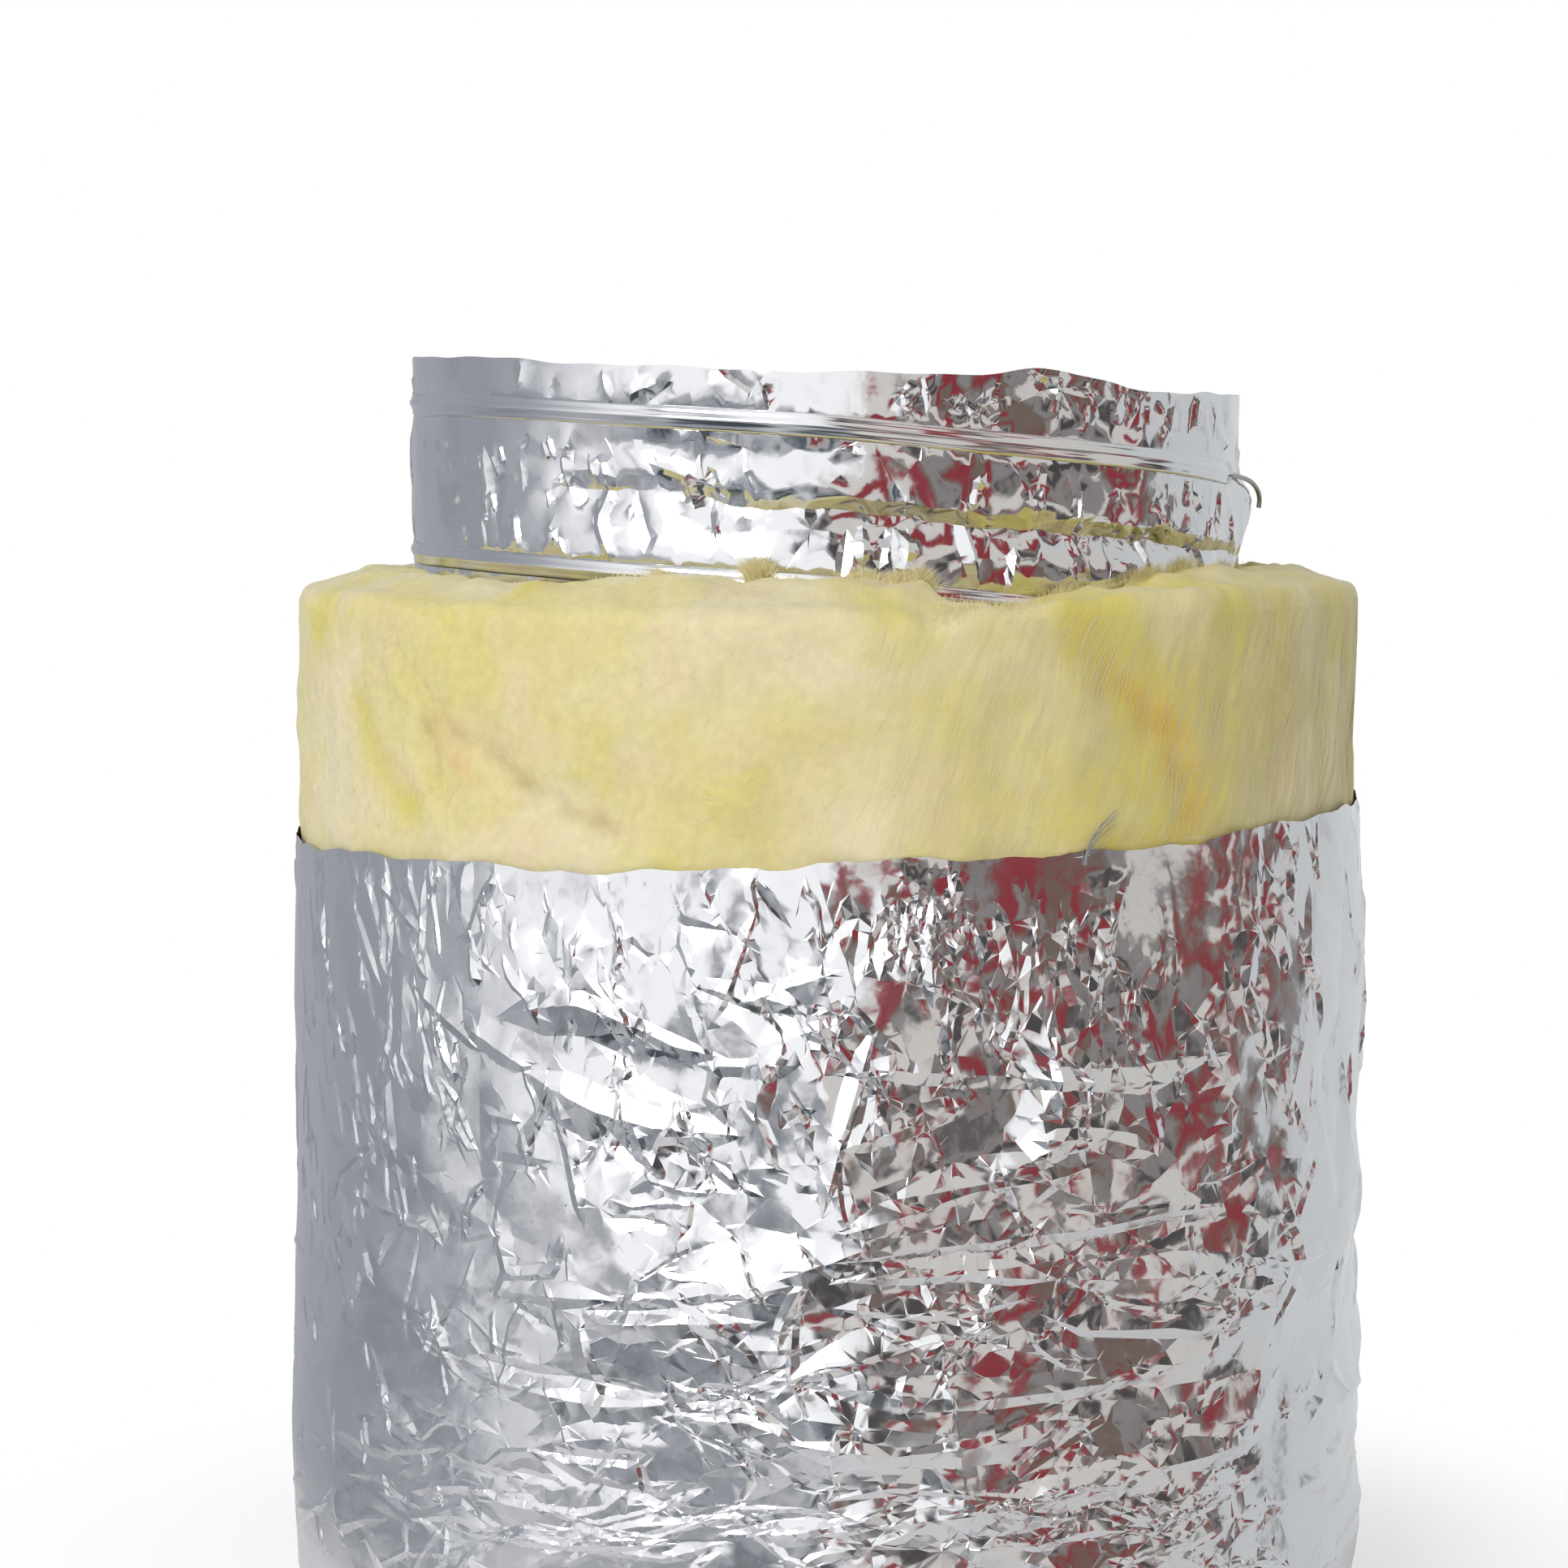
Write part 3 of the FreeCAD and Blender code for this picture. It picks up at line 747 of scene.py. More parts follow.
paints = ("combed", "tint", "deep", "peach", "shade_in_creases")
painted = {name: add("Attribute", attribute_name=name).outputs["Fac"] for name in paints}
tufty = add("TexNoise", {"Vector": place.outputs["Object"], "Scale": 420.0, "Detail": 3.0})
fleece = add("Mix", {0: painted["combed"], 2: tufty, 3: strands}, data_type="FLOAT")
clouds = add("TexNoise", {"Vector": place.outputs["Object"], "Scale": 30.0, "Detail": 5.0, "Distortion": 0.7})
patch = add("MapRange", {"Value": clouds, "From Min": 0.42, "From Max": 0.78})
yellowness = add("Math", {0: patch, 1: painted["tint"]}, operation="ADD", use_clamp=True)
blotches = add("TexNoise", {"Vector": place.outputs["Object"], "Scale": 42.0,
                            "Detail": 5.0, "Distortion": 0.9})
blush = add("MapRange", {"Value": blotches, "From Min": 0.5, "From Max": 0.78, "To Max": 0.6})
# painted shade: a dull tan laid into the colour along the diagonal crease and down the joint, where the folds
# shade the batt
crease_shade_share = add("Math", {0: painted["shade_in_creases"], 1: 0.75}, operation="MULTIPLY")
colour = linear("E4D9B2")
# the tints in turn: yellow, pink and ochre, then the painted shade, peach beside the joint and tan in the
# creases
for share, code in ((yellowness, "DACE78"), (blush, "E3CBA6"), (painted["deep"], "D9B04C"),
                    (painted["peach"], "E4BE8C"), (crease_shade_share, "B9A67C")):
    colour = add("Mix", {0: share, 6: colour, 7: linear(code)}, data_type="RGBA").outputs[2]
streak = add("MapRange", {"Value": fleece, "From Min": 0.3, "From Max": 0.7, "To Min": 0.925, "To Max": 1.06})
coloured = add("VectorMath", {0: colour, "Scale": streak}, operation="SCALE")
felt = add("Bump", {"Height": fleece, "Distance": 0.0005, "Strength": 0.18})
shader = add("BsdfPrincipled", {"Base Color": coloured, "Roughness": 0.95, "Specular IOR Level": 0.1,
                                "Sheen Weight": 0.15, "Normal": felt, "Subsurface Weight": 0.3,
                                "Subsurface Radius": (1.0, 0.9, 0.5), "Subsurface Scale": 0.003})
add("OutputMaterial", {"Surface": shader})
wool.data.materials.append(batt)
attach(wool, "wool")
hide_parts("glass_wool_blanket")

# ---- Loose fibres ----
# Strands of glass that the cut and the handling have pulled out of the blanket. They lie nearly flat
# on it, short and tangled at the left, long and leaning at the right, and stand up in tufts and
# fuzz along the top where it meets the core.
fibre_rng = np.random.default_rng(21)
wool_tree = BVHTree.FromPolygons([tuple(p) for p in wool_points],
                                 [tuple(p.vertices) for p in wool.data.polygons])
cast_from = 0.16  # metres from the axis, well outside the wool


def ribbons(name, mids, sides, widths):
    # Narrow ribbons in one piece: mids holds each ribbon's points, in metres, and sides the
    # direction of its width
    count, steps, _ = mids.shape
    taper = np.sqrt(np.clip(np.sin(np.linspace(0.12, math.pi - 0.02, steps)), 0, 1))
    half = sides * (widths[:, None] * taper)[..., None] / 2
    points = np.stack([mids - half, mids + half], 2).reshape(-1, 3)
    first = (np.arange(count)[:, None] * steps + np.arange(steps - 1)).ravel()[:, None] * 2
    return piece_from(name, points, faces=(first + [0, 1, 3, 2]).tolist())


def lying(count, angles, heights, leans, lengths, bends, lift):
    # Strands laid on the outer face, at a height and angle each, following its lumps
    t = np.linspace(-0.5, 0.5, 8)
    lean = leans[:, None] + bends[:, None] * t
    u = np.radians(angles)[:, None] * wool_out + lengths[:, None] * t * np.cos(lean)
    v = heights[:, None] + lengths[:, None] * t * np.sin(lean)
    v = np.clip(v, 210.5 + np.abs(fibre_rng.normal(0, 1, (count, 1))), 262)
    turn = u / wool_out
    outward = np.stack([np.sin(turn), -np.cos(turn), 0 * turn], 2)
    hits = [wool_tree.ray_cast(Vector(d * cast_from + [0, 0, h / 1000]), Vector(-d), cast_from / 2)[0]
            for d, h in zip(outward.reshape(-1, 3), v.ravel())]
    missed = (0.13, 0, 0.25)
    on_wool = np.array([tuple(p) if p is not None else missed for p in hits]).reshape(count, len(t), 3)
    stand = 0.06 + lift[:, None] * np.cos(math.pi * t) ** 2
    mids = on_wool + outward * stand[..., None] / 1000
    ways = np.gradient(mids, axis=1)
    ways /= np.maximum(np.linalg.norm(ways, axis=2, keepdims=True), 1e-9)
    return mids, np.cross(ways, outward)


def spread(count, angle_range, mean_lean, lean_spread, shortest, longest, bend, lift):
    # Strands over a range of angles, leaning by so many degrees from level, lengths in millimetres
    angles = fibre_rng.uniform(*angle_range, count)
    leans = np.radians(fibre_rng.normal(mean_lean, lean_spread, count))
    heights = fibre_rng.uniform(211, 260, count)
    lengths, bends = fibre_rng.uniform(shortest, longest, count), fibre_rng.normal(0, bend, count)
    return lying(count, angles, heights, leans, lengths, bends, fibre_rng.uniform(0, lift, count))


tangle = spread(1500, (-180, 180), 75, 50, 2, 6, 0.9, 0.12)
swept_left = spread(260, (-60, 10), 20, 40, 4, 12, 0.8, 0.15)
swept_right = spread(1700, (4, 180), 70, 9, 6, 20, 0.25, 0.15)
lock_places = zip(fibre_rng.uniform(8, 180, 70), fibre_rng.normal(72, 7, 70))
locks = [spread(18, (a - 1.1, a + 1.1), lean, 4, 16, 34, 0.2, 0.16) for a, lean in lock_places]
groups = [tangle, swept_left, swept_right] + locks
mids, sides = (np.concatenate([group[i] for group in groups]) for i in (0, 1))
lying_fibres = ribbons("wool_strands", mids, sides, fibre_rng.uniform(0.05, 0.14, len(mids)) / 1000)
# bare glass fibres: paler than the bound wool, with a slight sheen
glass, add = new_material("pale_glass_fibre")
shader = add("BsdfPrincipled", {"Base Color": linear("E9E0B4"), "Roughness": 0.6, "Specular IOR Level": 0.3})
add("OutputMaterial", {"Surface": shader})
lying_fibres.data.materials.append(glass)

roots, ways = [], []
tufts = [  # angle and radius in the duct, how many, how wide and how tall
    (-9.3, 105.8, 420, 1.6, 5.6), (-8.2, 105.8, 260, 1.0, 4.6), (3.5, 105.8, 320, 5, 2.6),
    (8.5, 106.6, 300, 3.5, 3.0), (11.3, 106.3, 360, 2.4, 3.8), (-21, 105.6, 260, 4, 2.0),
    (30, 105.4, 220, 3.5, 2.2), (43, 106, 420, 4.5, 3.2), (50, 106, 460, 5, 3.4), (62, 106, 300, 6, 2.6),
    (12.5, 127, 300, 6, 2.2), (18, 128, 260, 6, 2.0)]
fuzz = []
for a in fibre_rng.uniform(-180, 180, 3600):
    shortest, tallest = (0.8, 2.2) if a > -28 else (0.3, 0.8)  # short at the left of the front
    fuzz.append((a, fibre_rng.uniform(104.6, 108), 1, 1.0, fibre_rng.uniform(shortest, tallest)))
radian = 57.3  # degrees
below_top = 0.0008  # the strands are rooted so far down in the wool, in metres
for a, r_mid, number, wide, tall in tufts + fuzz:
    for _ in range(number):
        turn = math.radians(a + fibre_rng.normal(0, wide * 0.5) / r_mid * radian)
        r_root = max(104.7, r_mid + fibre_rng.normal(0, wide * 0.3))
        out = Vector((math.sin(turn), -math.cos(turn), 0))
        hit = wool_tree.ray_cast(out * r_root / 1000 + Vector((0, 0, 0.3)), Vector((0, 0, -1)))[0]
        if hit is None:
            continue
        aside = Vector((math.cos(turn), math.sin(turn), 0))
        roots.append(hit - Vector((0, 0, below_top)))
        way = aside * fibre_rng.normal(0, 0.4) + out * abs(fibre_rng.normal(0, 0.3)) + Vector((0, 0, 1))
        ways.append(way.normalized() * (tall + 0.8) * fibre_rng.uniform(0.5, 1.1) / 1000)
roots, ways = np.array(roots), np.array(ways)
t = np.linspace(0, 1, 5)[:, None]
curls = np.cross(ways, fibre_rng.normal(0, 1, ways.shape))
outward = roots * [1, 1, 0] / np.linalg.norm(roots[:, :2], axis=1)[:, None]
curls -= outward * np.minimum(0, (curls * outward).sum(1))[:, None]
mids = roots[:, None] + ways[:, None] * t + curls[:, None] * (0.35 * t ** 2)
sides = np.cross(ways, outward)
sides /= np.linalg.norm(sides, axis=1)[:, None]
standing_fibres = ribbons("wool_top_fuzz", mids, np.repeat(sides[:, None], 5, 1),
                          fibre_rng.uniform(0.07, 0.15, len(mids)) / 1000)
standing_fibres.data.materials.append(glass)
for piece in (lying_fibres, standing_fibres):
    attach(piece, "wool")

# ---- Foil jacket ----
# The vapour barrier is a thin aluminised polyester laminate, wrapped round the wool with a lapped
# and bonded seam, and cut off with a knife. Handling has crumpled it: broad facets and long
# slanting folds on the left, crowded small ones on the right, level wrinkles low down.
jacket_radius = 132.3
jacket_seam = 125.0      # angle of the seam from the front, towards +X
jacket_lap = 14.0
jacket_long = 2 * math.pi * jacket_radius + jacket_lap
jacket_rng = np.random.default_rng(11)


def jacket_u(angle):
    # Distance along the sheet, from its inner edge at the seam, of an angle from the front
    return math.radians((angle - jacket_seam) % 360) * jacket_radius


def jacket_angle(u):
    return (jacket_seam + np.degrees(u / jacket_radius) + 180) % 360 - 180


def jacket_top(u):
    # The cut rises by 2 degrees to the right, wavers, and is slightly torn
    a = np.radians(jacket_angle(u))
    level = jacket_cut + 131.6 * np.sin(a) * jacket_slope
    return level + 0.7 * np.sin(7 * a + 1) + 0.5 * np.sin(17 * a) + 0.35 * np.sin(41 * a + 2)


def crowding(angle):
    # 0 on the quiet left, 1 on the crowded right, in between round the back
    return np.interp(angle, [-180, -120, -95, -58, -44, -6, 4, 50, 58, 100, 180],
                     [0.75, 0.6, 0.2, 0.18, 0.58, 0.62, 1.0, 1.0, 0.55, 0.65, 0.75])


def crowding_at(q):
    return crowding(jacket_angle(q[:, 0]))


# of each crease: how far its flanks reach, how far its crest stands, and the angles and heights it passes
jacket_folds = [
    (5, 1.4, (-34, 172), (-30, 175), (-25, 176.5), (-21, 174), (-15, 168), (-10, 166)),
    (5, -1.3, (-24, 169), (-21, 166), (-16, 158), (-12, 155)),
    (6, 1.5, (-31, 161), (-28, 158), (-23, 153), (-17, 150), (-8, 149)), (4, 0.9, (-38, 170), (-30, 161)),
    (4, 0.7, (-46, 178), (-35, 163)), (3, -0.9, (-23, 152), (-19, 142), (-17, 140)),
    (1.8, 0.7, (-19, 150), (-18, 144), (-16, 139)), (2.4, -0.9, (-16, 148), (-12, 141), (-9, 136)),
    (1.8, 0.8, (-7, 200), (-9, 187), (-10, 180), (-12, 172)), (2.2, 1.0, (-11, 165), (-12, 157), (-10, 154)),
    (1.6, -0.6, (-20, 191), (-17, 186)), (2.6, 0.9, (-27, 156), (-26, 146), (-25, 136), (-24, 126)),
    (2, -0.8, (-22, 129), (-18, 129.5), (-15, 128)), (2.2, -0.7, (-15, 201), (-15, 195), (-10, 194)),
    (2.2, -1.1, (-5, 151), (-3, 154), (-1, 152)), (3, 0.8, (-35, 126), (-33, 112)),
    (2.5, 0.6, (-40, 147), (-38, 140)), (2, 0.6, (-36, 150), (-31, 149)), (2, -0.6, (-28, 139), (-35, 139)),
    (5, 0.7, (-29, 200), (-24, 182), (-18, 168)), (4, -0.6, (-16, 204), (-16, 186)),
    (3, -0.7, (-14, 182), (-7, 176), (2, 176)), (2.6, 0.7, (-13, 164), (-3, 165)),
    (4, 0.8, (-9, 178), (1, 186)), (2.2, 0.6, (-57, 194), (-51, 175)), (2.2, 0.6, (-52, 200), (-45, 189)),
    (2.2, 0.6, (-47, 179), (-47, 156)), (1.8, 0.5, (-60, 164), (-59, 156)),
    (1.8, 0.5, (-57, 158), (-56, 146)), (2.0, 0.5, (-51, 160), (-53, 146)),
    (2.6, 1.5, (4, 174), (1, 150), (-1, 131)), (2.4, 1.0, (9, 197), (9.5, 177)),
    (2, 0.9, (16, 200), (18, 181)), (2.4, 1.1, (31, 207), (27, 189), (25, 173)),
    (2.4, 1.0, (35, 206), (36, 188), (36, 177)),
    (3, 1.3, (-1, 163), (5, 164), (13, 162), (23, 160), (31, 158), (41, 162)),
    (3, 1.1, (19, 147), (26, 147), (32, 142)), (3, 1.0, (0, 146), (10, 153), (14, 157)),
    (6, 1.9, (0, 127), (13, 136), (24, 139)), (5, 1.3, (5, 135), (15, 138), (21, 145), (25, 155)),
    (3, -1.4, (0, 121.5), (14, 122), (24, 123), (36, 126), (42, 127)),
    (3, 1.3, (0, 117.5), (13, 118), (22, 115)), (5, 1.7, (22, 115), (34, 113), (45, 112)),
    (4, -1.5, (20, 108), (25, 101), (39, 97), (45, 98)), (3, 1.0, (0, 111), (10, 109), (20, 112)),
    (2.6, -1.4, (5, 102), (10, 105), (17, 101)), (2, 0.7, (45, 112), (62, 108)),
    (2, 1.0, (44, 157), (40, 146)), (2, 0.8, (41, 114), (44, 95)), (1.8, 0.8, (45, 126), (49, 119)),
    (2.2, -1.1, (-40, 92), (-36, 92.5), (-30, 91.5), (-26, 92), (-17, 90), (-15, 91)),
    (4, 0.9, (-38, 89), (-22, 86), (-15, 88)), (2.0, -1.1, (-29, 74), (-25, 73.5), (-20, 74), (-18, 76)),
    (2.6, -1.4, (-14, 88.5), (-10, 90), (-7, 89), (-4, 84)), (2.6, 1.0, (-14, 85), (-8, 85), (-3, 81)),
    (2.4, -1.1, (-24, 108), (-18, 109), (-13, 111), (-8, 113)), (3, 1.0, (-24, 105), (-14, 107), (-6, 108)),
    (2, 0.7, (-50, 80), (-42, 78), (-34, 76)), (1.8, -0.6, (-62, 65), (-55, 62), (-47, 63)),
    (2, -0.9, (-44, 57), (-40, 59), (-37, 56)), (1.6, 0.5, (-62, 41), (-55, 47), (-51, 49)),
    (2.2, -1.0, (-11, 59), (-5, 63), (3, 63)), (2, -0.7, (-40, 118), (-34, 122)),
    (1.8, -0.8, (-19, 75), (-18, 64)), (3, 1.0, (-42, 64), (-33, 60), (-24, 60)),
    (3, 1.1, (-36, 52), (-27, 53), (-15, 56)), (2, -0.9, (-33, 68), (-27, 67)),
    (2.2, -1.0, (-46, 36), (-34, 33), (-20, 37)), (6, 1.8, (-5, 94), (7, 103), (17, 104)),
    (5, 1.4, (-2, 94), (14, 90), (35, 90)), (5, 1.7, (-2, 60), (14, 64), (30, 69), (48, 70)),
    (4, 1.3, (-5, 81), (6, 78), (27, 82)), (3, 0.8, (-36, 109), (-21, 111)),
]
jacket_creases = placed_creases(jacket_rng, jacket_u, jacket_folds)
crease_zones = (  # how many creases are tried, between which angles, and how far they reach
    (780, (-180, 180), (1.0, 2.8)), (170, (-2, 60), (1.0, 2.8)),
    (300, (-52, 0), (0.7, 1.7)), (150, (95, 250), (1.0, 2.8)))
for tries, angles, reaches in crease_zones:
    for _ in range(tries):
        angle, z = jacket_rng.uniform(*angles), jacket_rng.uniform(3, 211)
        busy = float(crowding((angle + 180) % 360 - 180))
        thinned = 0.55 if 0 < angle < 60 and 75 < z < 150 else 1
        if jacket_rng.random() > (0.15 + 0.7 * busy) * thinned:
            continue
        if z > 140:
            tilt, length = jacket_rng.normal(96, 20), jacket_rng.uniform(8, 26)
        elif z > 70:
            tilts = [jacket_rng.normal(20, 25), jacket_rng.normal(-30, 20), jacket_rng.normal(95, 25)]
            tilt, length = jacket_rng.choice(tilts), jacket_rng.uniform(8, 32)
        else:
            tilt, length = jacket_rng.normal(6, 16), jacket_rng.uniform(12, 56)
        reach = jacket_rng.uniform(*reaches)
        lift = jacket_rng.choice([1, 1, -0.7]) * reach * jacket_rng.uniform(0.2, 0.42)
        c, s = math.cos(math.radians(tilt)), math.sin(math.radians(tilt))
        bends = jacket_rng.normal(0, length * 0.06, 4)
        steps = [(t * length, bend) for t, bend in zip((-0.5, -0.2, 0.15, 0.5), bends)]
        spots = [(jacket_u(angle) + c * t - s * bend, z + s * t + c * bend) for t, bend in steps]
        jacket_creases.append(Crease(jacket_rng, spots, reach, lift))

for _ in range(110):  # thin upright pinches on the quiet left side
    angle, z = jacket_rng.uniform(-72, -40), 206 - 175 * jacket_rng.random() ** 1.6
    tilt, half = math.radians(jacket_rng.normal(103, 8)), jacket_rng.uniform(3, 9) * (0.6 + z / 400)
    u, reach = jacket_u(angle), jacket_rng.uniform(0.9, 1.6)
    c, s = math.cos(tilt) * half, math.sin(tilt) * half
    spots = [(u - c, z - s), (u + jacket_rng.normal(0, 0.5), z), (u + c, z + s)]
    lift = reach * jacket_rng.uniform(0.2, 0.36)
    jacket_creases.append(Crease(jacket_rng, spots, reach, lift))

upper_rng = np.random.default_rng(29)
for _ in range(34):  # the crumpled patch under the cut, right of the middle
    angle, z = upper_rng.uniform(5, 33), upper_rng.uniform(186, 207)
    tilt, half = math.radians(upper_rng.normal(92, 26)), upper_rng.uniform(3, 9)
    u, reach = jacket_u(angle), upper_rng.uniform(1.0, 2.6)
    c, s = math.cos(tilt) * half, math.sin(tilt) * half
    lift = upper_rng.choice([1, 1, -0.8]) * reach * upper_rng.uniform(0.24, 0.42)
    spots = [(u - c, z - s), (u + upper_rng.normal(0, 0.8), z), (u + c, z + s)]
    jacket_creases.append(Crease(upper_rng, spots, reach, lift))


def flatness(v):
    return np.interp(v, [30, 80, 120, 160, 200], [1.9, 1.6, 1.15, 0.75, 0.65])


def small_gap(u, v):
    return np.interp(v, [60, 160], [18.5, 12.0]) * (1.3 - 0.45 * crowding(jacket_angle(u)))


def small_lift(q):
    return (0.02 + 0.95 * crowding_at(q) ** 0.9) * np.interp(q[:, 1], [110, 150], [0.7, 1])


def fine_gap(u, v):
    return np.interp(jacket_angle(u), [-110, -80, -50, 0, 8, 20], [16, 9.5, 6.8, 6.8, 11, 16])


def fine_lift(q):
    return np.interp(jacket_angle(q[:, 0]), [-180, -110, -80, -50, 0, 8, 20, 90, 180],
                     [0.4, 0.25, 0.05, 0.2, 0.24, 0.2, 0.1, 0.2, 0.4])


net_size = jacket_long, 216
broad_facets = FacetNet(jacket_rng, *net_size, lambda u, v: np.interp(v, [60, 160], [32, 24]), flatness,
                        lambda q: 0.2 + 1.6 * crowding_at(q) ** 0.8)
small_facets = FacetNet(jacket_rng, *net_size, small_gap, flatness, small_lift)
fine_facets = FacetNet(jacket_rng, *net_size, fine_gap, flatness, fine_lift)
outline = [(u, 0) for u in np.arange(0, jacket_long, 2.6)] + [(jacket_long, 0)]
outline += [(u, jacket_top(u) + jacket_rng.normal(0, 0.12)) for u in np.arange(jacket_long, -1, -2.2)]
jacket = creased_sheet("foil_jacket_sheet", outline, [broad_facets, small_facets, fine_facets],
                       jacket_creases, lambda q: 3.9 - 0.6 * crowding_at(q),
                       lambda q: 0.01 + 0.06 * crowding_at(q) ** 1.5, 5)
face_outwards()
u, v, h = mesh_points(jacket).T
sheet_points = np.column_stack([u, v, 0 * u])
angle = jacket_angle(u)
stand = (0.2 + 1.1 * crowding(angle) + np.clip(0.8 + 1.3 * soft_noise(sheet_points, 42, 8), 0, 2)
         + 2.0 * np.exp(-((angle + 88) / 26) ** 2 - ((v - 60) / 36) ** 2))
below_cut = jacket_top(u) - v
from_end = np.minimum(u, jacket_long - u)
loose = 0.08 + 0.92 * np.clip((from_end - jacket_lap) / 9, 0, 1)  # pressed flat where the lap is bonded
stand *= np.clip(0.15 + below_cut / 30, 0, 1) * loose
h = (h + 0.14 * soft_noise(sheet_points, 12, 1)) * np.clip(0.4 + below_cut / 7, 0.4, 1) * loose + stand
least_radius = 131.7
radius = least_radius + 0.5 * (h + np.sqrt(h ** 2 + 0.3))
# however far it is slid up, the foil rests on the wool's swellings
clearance = 0.42
for slide in (0, 9, 18, 27, 36, 45):
    for i in np.where((v + slide > 204) & (v + slide < 261))[0]:
        turn = math.radians(angle[i])
        out = Vector((math.sin(turn), -math.cos(turn), 0))
        hit = wool_tree.ray_cast(out * cast_from + Vector((0, 0, (v[i] + slide) / 1000)), -out)[0]
        radius[i] = max(radius[i], hit.to_2d().length * 1000 + clearance)
radius += 0.4 * np.clip((u - (jacket_long - jacket_lap - 4)) / 4, 0, 1)  # over the lap's inner layer

lay_out_sheet(jacket, u, v)
roll_up(jacket, radius, jacket_seam + u / jacket_radius * 180 / math.pi, v)
bpy.ops.object.shade_smooth_by_angle(angle=math.radians(9))
jacket.data.materials.append(foil_material("jacket_polyester_foil", 0.11, 0.012, 0.25))
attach(jacket, "jacket")
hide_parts("foil_jacket")

# ---- Frayed yarn ----
# A glass yarn from the jacket's reinforcing mesh stands out of its cut edge at the right of the front
# and curls over the wool. Its few twisted filaments spread towards the tip.
yarn_path = [(25.0, 207.5, 0.75), (25.1, 210.5, 0.8), (25.5, 213.2, 1.0), (26.2, 215.6, 1.4),
             (27.1, 217.6, 1.7), (28.2, 219.2, 1.8)]
# grey glass yarn: twisted filaments, satin
yarn_glass, add = new_material("grey_glass_yarn")
shader = add("BsdfPrincipled", {"Base Color": linear("8C8D91"), "Roughness": 0.45, "Specular IOR Level": 0.5})
add("OutputMaterial", {"Surface": shader})
filaments = []
for twist, spread_out, reach in ((0.0, 0.03, 1.0), (2.1, 0.05, 0.95), (4.2, 0.04, 0.9), (5.6, 0.14, 0.74)):
    path = []
    for step, (a, h, off) in enumerate(yarn_path):
        swing = 0.22 + spread_out * (step / 5) ** 2
        height = 207.5 + (h - 207.5) * reach + swing * math.cos(twist + step * 1.2)
        aside = math.degrees(swing * math.sin(twist + step * 1.2) / 132)
        path.append(round_duct(a + aside, 131.9 + off, height))
    filament = bent_rod("yarn_filament", path, 0.00024, 4, 1)
    for step, point in enumerate(filament.data.splines[0].points):
        point.radius = 1 - 0.13 * step
    filaments.append(filament)
bpy.ops.object.select_all(action="DESELECT")
for filament in filaments:
    filament.select_set(True)
bpy.context.view_layer.objects.active = filaments[0]
bpy.ops.object.convert(target="MESH")
bpy.ops.object.join()
yarn = bpy.context.object
yarn.name = "frayed_yarn"
bpy.ops.object.shade_smooth()
yarn.data.materials.append(yarn_glass)
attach(yarn, "jacket")
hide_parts("scrim_yarn")

# ---- Floor ----
# A matt pale studio floor that the cut lower end stands on. It only catches the duct's soft contact
# shadow: it fades out into the white background a little way off.
bpy.ops.object.select_all(action="DESELECT")
bpy.ops.mesh.primitive_circle_add(vertices=128, radius=0.42, fill_type="NGON", location=(0, 0, 0))
floor = bpy.context.object
floor.name = "studio_floor"
pale, add = new_material("pale_studio_floor")
spot = add("TexCoord")
far = add("VectorMath", {0: spot.outputs["Object"]}, operation="LENGTH")
fade = add("MapRange", {"Value": far.outputs["Value"], "From Min": 0.15, "From Max": 0.27},
           interpolation_type="SMOOTHSTEP")
seen = add("LightPath")
lit = add("Math", {0: seen.outputs["Is Camera Ray"], 1: 0.3}, operation="MULTIPLY")
matt = add("BsdfDiffuse", {"Color": linear("F6F6F6")})
glow = add("Emission", {"Color": (1, 1, 1, 1), "Strength": lit})
pale_floor = add("AddShader", {0: matt, 1: glow})
clear = add("BsdfTransparent")
mixed = add("MixShader", {0: fade, 1: pale_floor, 2: clear})
add("OutputMaterial", {"Surface": mixed})
floor.data.materials.append(pale)

# ---- Surroundings ----
# What the mirror-bright foil shows is mostly the room: white in front, even grey beyond the left,
# patches of brown, muted red and near black towards the right, pale grey at the far right. The camera
# itself sees plain white, and matt things are lit by an even white sky.
world = bpy.data.worlds.new("studio")
bpy.context.scene.world = world
world.use_nodes = True
world.node_tree.nodes.clear()
add = partial(add_node, world.node_tree)
look = add("TexCoord")
parts = add("SeparateXYZ", {0: look.outputs["Generated"]})
back = add("Math", {0: parts.outputs["Y"], 1: -1.0}, operation="MULTIPLY")
turn = add("Math", {0: parts.outputs["X"], 1: back}, operation="ARCTAN2")
share = add("MapRange", {"Value": turn, "From Min": -math.pi, "From Max": math.pi})
round_colours = add("ValToRGB", {"Fac": share})
shaded_share = add("ValToRGB", {"Fac": share})


def fill_ramp(node, stops):
    ramp = node.color_ramp
    ramp.elements[0].position, ramp.elements[0].color = stops[0][0], linear(stops[0][1])
    ramp.elements[1].position, ramp.elements[1].color = stops[-1][0], linear(stops[-1][1])
    for position, code in stops[1:-1]:
        ramp.elements.new(position).color = linear(code)


# colours round the horizon: 0 is the back, 0.25 the left, 0.5 the front, 0.75 the right
fill_ramp(round_colours, [
    (0.0, "F4F4F6"), (0.03, "A6A8AD"), (0.20, "989BA1"), (0.25, "ABADB2"), (0.29, "D6D7DA"), (0.34, "FDFDFE"),
    (0.43, "FFFFFF"), (0.507, "FFFFFF"), (0.512, "D6D2CD"), (0.60, "D2CDC7"), (0.76, "CBC8C3"),
    (0.80, "C6C8C9"), (0.96, "CED0D1"), (1.0, "F4F4F6")])
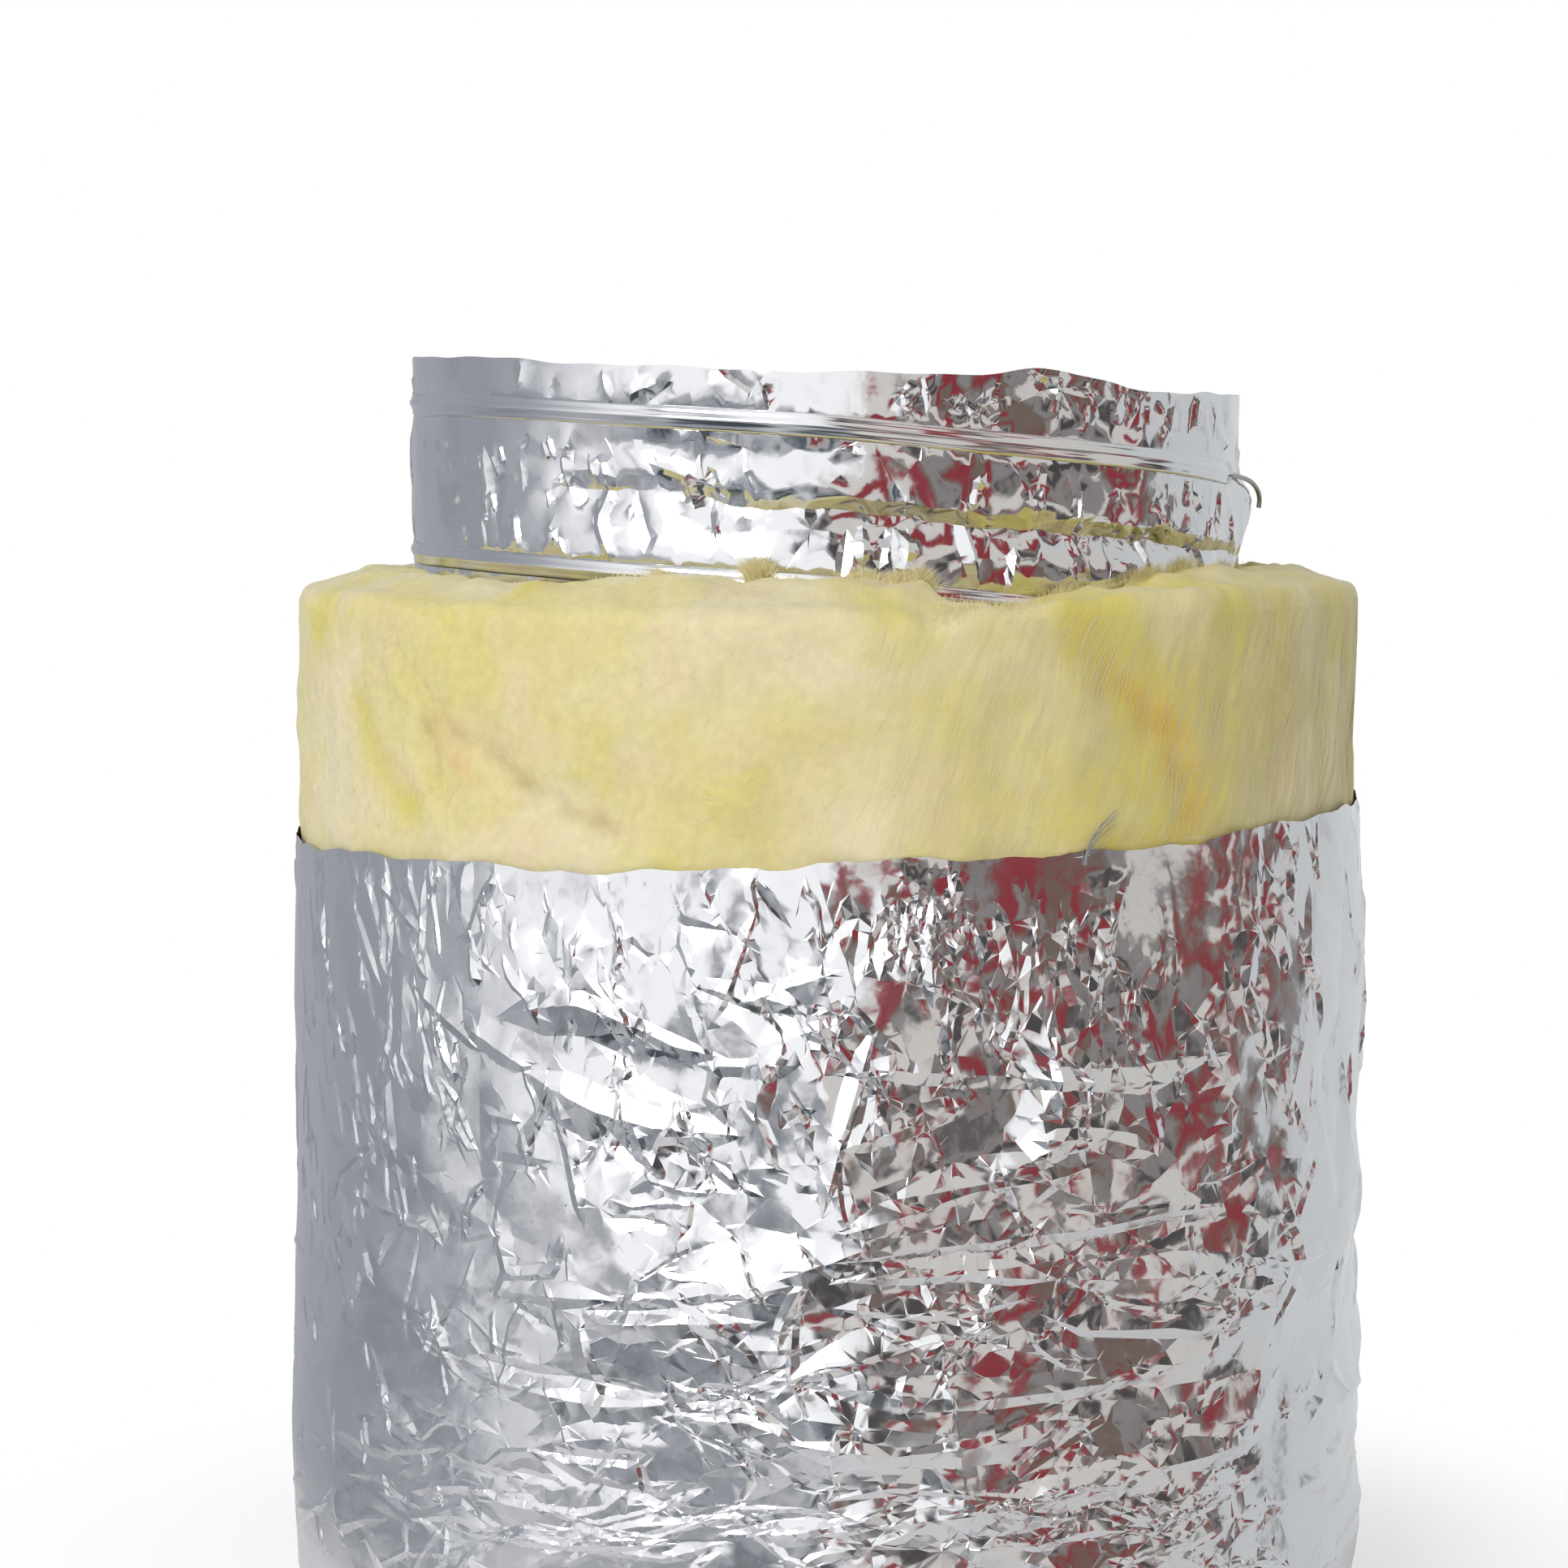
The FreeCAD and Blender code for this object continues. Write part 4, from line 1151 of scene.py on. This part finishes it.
# how readily the patches show there
fill_ramp(shaded_share, [
    (0.0, "000000"), (0.2, "202020"), (0.26, "606060"), (0.42, "707070"), (0.505, "606060"),
    (0.515, "808080"), (0.76, "808080"), (0.80, "404040"), (1.0, "000000")])
# the same from straight down to straight up: 0.5 is the horizon
height = add("MapRange", {"Value": parts.outputs["Z"], "From Min": -1.0, "From Max": 1.0})
left_band = add("ValToRGB", {"Fac": height})
right_band = add("ValToRGB", {"Fac": height})
fill_ramp(left_band, [
    (0.0, "FFFFFF"), (0.14, "FFFFFF"), (0.22, "D4D4D4"), (0.30, "D8D8D8"), (0.355, "CCCCCC"),
    (0.385, "A8A8A8"), (0.41, "848484"), (0.43, "707070"), (0.46, "6A6A6A"), (0.55, "5C5C5C"),
    (0.66, "606060"), (0.78, "848484"), (1.0, "606060")])
fill_ramp(right_band, [
    (0.0, "808080"), (0.22, "707070"), (0.34, "989898"), (0.45, "989898"), (0.49, "A8A8A8"), (0.56, "888888"),
    (0.75, "606060"), (1.0, "000000")])
side = add("MapRange", {"Value": share, "From Min": 0.50, "From Max": 0.515})
band = add("Mix", {0: side, 6: left_band, 7: right_band}, data_type="RGBA")
patches = add("TexNoise", {"Vector": look.outputs["Generated"], "Scale": 3.0,
                           "Detail": 1.5, "Roughness": 0.5})
by_side = add("Math", {0: shaded_share, 1: 0.5, 2: patches}, operation="MULTIPLY_ADD")
reached = add("Math", {0: band.outputs[2], 1: 0.4, 2: by_side}, operation="MULTIPLY_ADD")
# on the left the white turns grey softly
soft = add("ValToRGB", {"Fac": reached})
fill_ramp(soft, [
    (0.0, "FFFFFF"), (0.635, "FFFFFF"), (0.70, "EAEAEC"), (0.755, "D0D1D3"), (0.81, "B2B3B7"),
    (0.87, "999BA0"), (0.915, "7C8185"), (0.95, "525A5E"), (1.0, "454C50")])
contrast = add("MapRange", {"Value": share, "From Min": 0.24, "From Max": 0.36,
                            "To Min": 0.25, "To Max": 1.0})
left_shading = add("Mix", {0: contrast, 6: (1, 1, 1, 1), 7: soft}, data_type="RGBA")
left_colours = add("VectorMath", {0: round_colours, 1: left_shading.outputs[2]}, operation="MULTIPLY")
# on the right the patches have hard edges
hard = add("MapRange", {"Value": reached, "From Min": 0.688, "From Max": 0.708})
before_end = add("MapRange", {"Value": share, "From Min": 0.80, "From Max": 0.86,
                              "To Min": 1.0, "To Max": 0.0})
covered = add("Math", {0: hard, 1: before_end}, operation="MULTIPLY")
cover = add("TexNoise", {"Vector": look.outputs["Generated"], "Scale": 2.6, "Detail": 1.0, "Roughness": 0.5})
greyer = add("MapRange", {"Value": share, "From Min": 0.66, "From Max": 0.78, "To Min": 0.0, "To Max": 0.045})
cover_place = add("Math", {0: cover, 1: greyer}, operation="ADD")
cover_colours = add("ValToRGB", {"Fac": cover_place})
fill_ramp(cover_colours, [
    (0.0, "8E3840"), (0.48, "8A343C"), (0.495, "6E5E55"), (0.55, "786B64"), (0.56, "8B8888"),
    (0.62, "86807E"), (0.63, "4A4646"), (1.0, "3A3838")])
right_colours = add("Mix", {0: covered, 6: round_colours, 7: cover_colours}, data_type="RGBA")
around = add("Mix", {0: side, 6: left_colours, 7: right_colours.outputs[2]}, data_type="RGBA")
ray = add("LightPath")
plain = add("Background", {"Color": (1, 1, 1, 1), "Strength": 1.0})
fill = add("Background", {"Color": (1, 1, 1, 1), "Strength": 0.55})
studio = add("Background", {"Color": around.outputs[2], "Strength": 1.12})
mirror = add("Math", {0: ray.outputs["Is Glossy Ray"], 1: ray.outputs["Is Transmission Ray"]},
             operation="MAXIMUM")
not_seen = add("MixShader", {0: mirror, 1: fill, 2: studio})
all_rays = add("MixShader", {0: ray.outputs["Is Camera Ray"], 1: not_seen, 2: plain})
add("OutputWorld", {"Surface": all_rays})

# ---- Key lamp ----
# One large softbox at the upper left of the camera. It models the wool: light at the left and the
# front, softly darker towards the right.
key_place, key_aim = Vector((-1.0, -1.9, 0.95)), Vector((0, 0, 0.25))
key_turn = (key_aim - key_place).to_track_quat("-Z", "Y").to_euler()
bpy.ops.object.light_add(type="AREA", location=key_place, rotation=key_turn)
key = bpy.context.object
key.name = "key_softbox"
key.data.shape = "SQUARE"
key.data.size = 1.2
key.data.energy = 26

# ---- Camera ----
# It stands at the photograph's place: about a metre off, level with the duct's top and looking down
# by 5.4 degrees, so that the lower end is cut off by the frame.
camera_dip = 5.38  # degrees below level
bpy.ops.object.camera_add(location=(-0.0106, -0.965, 0.305), rotation=(math.radians(90 - camera_dip), 0, 0))
camera = bpy.context.object
camera.data.sensor_width = 36
camera.data.lens = 88.27
camera.data.clip_start = 0.01
bpy.context.scene.camera = camera
bpy.context.scene.view_settings.view_transform = "Standard"
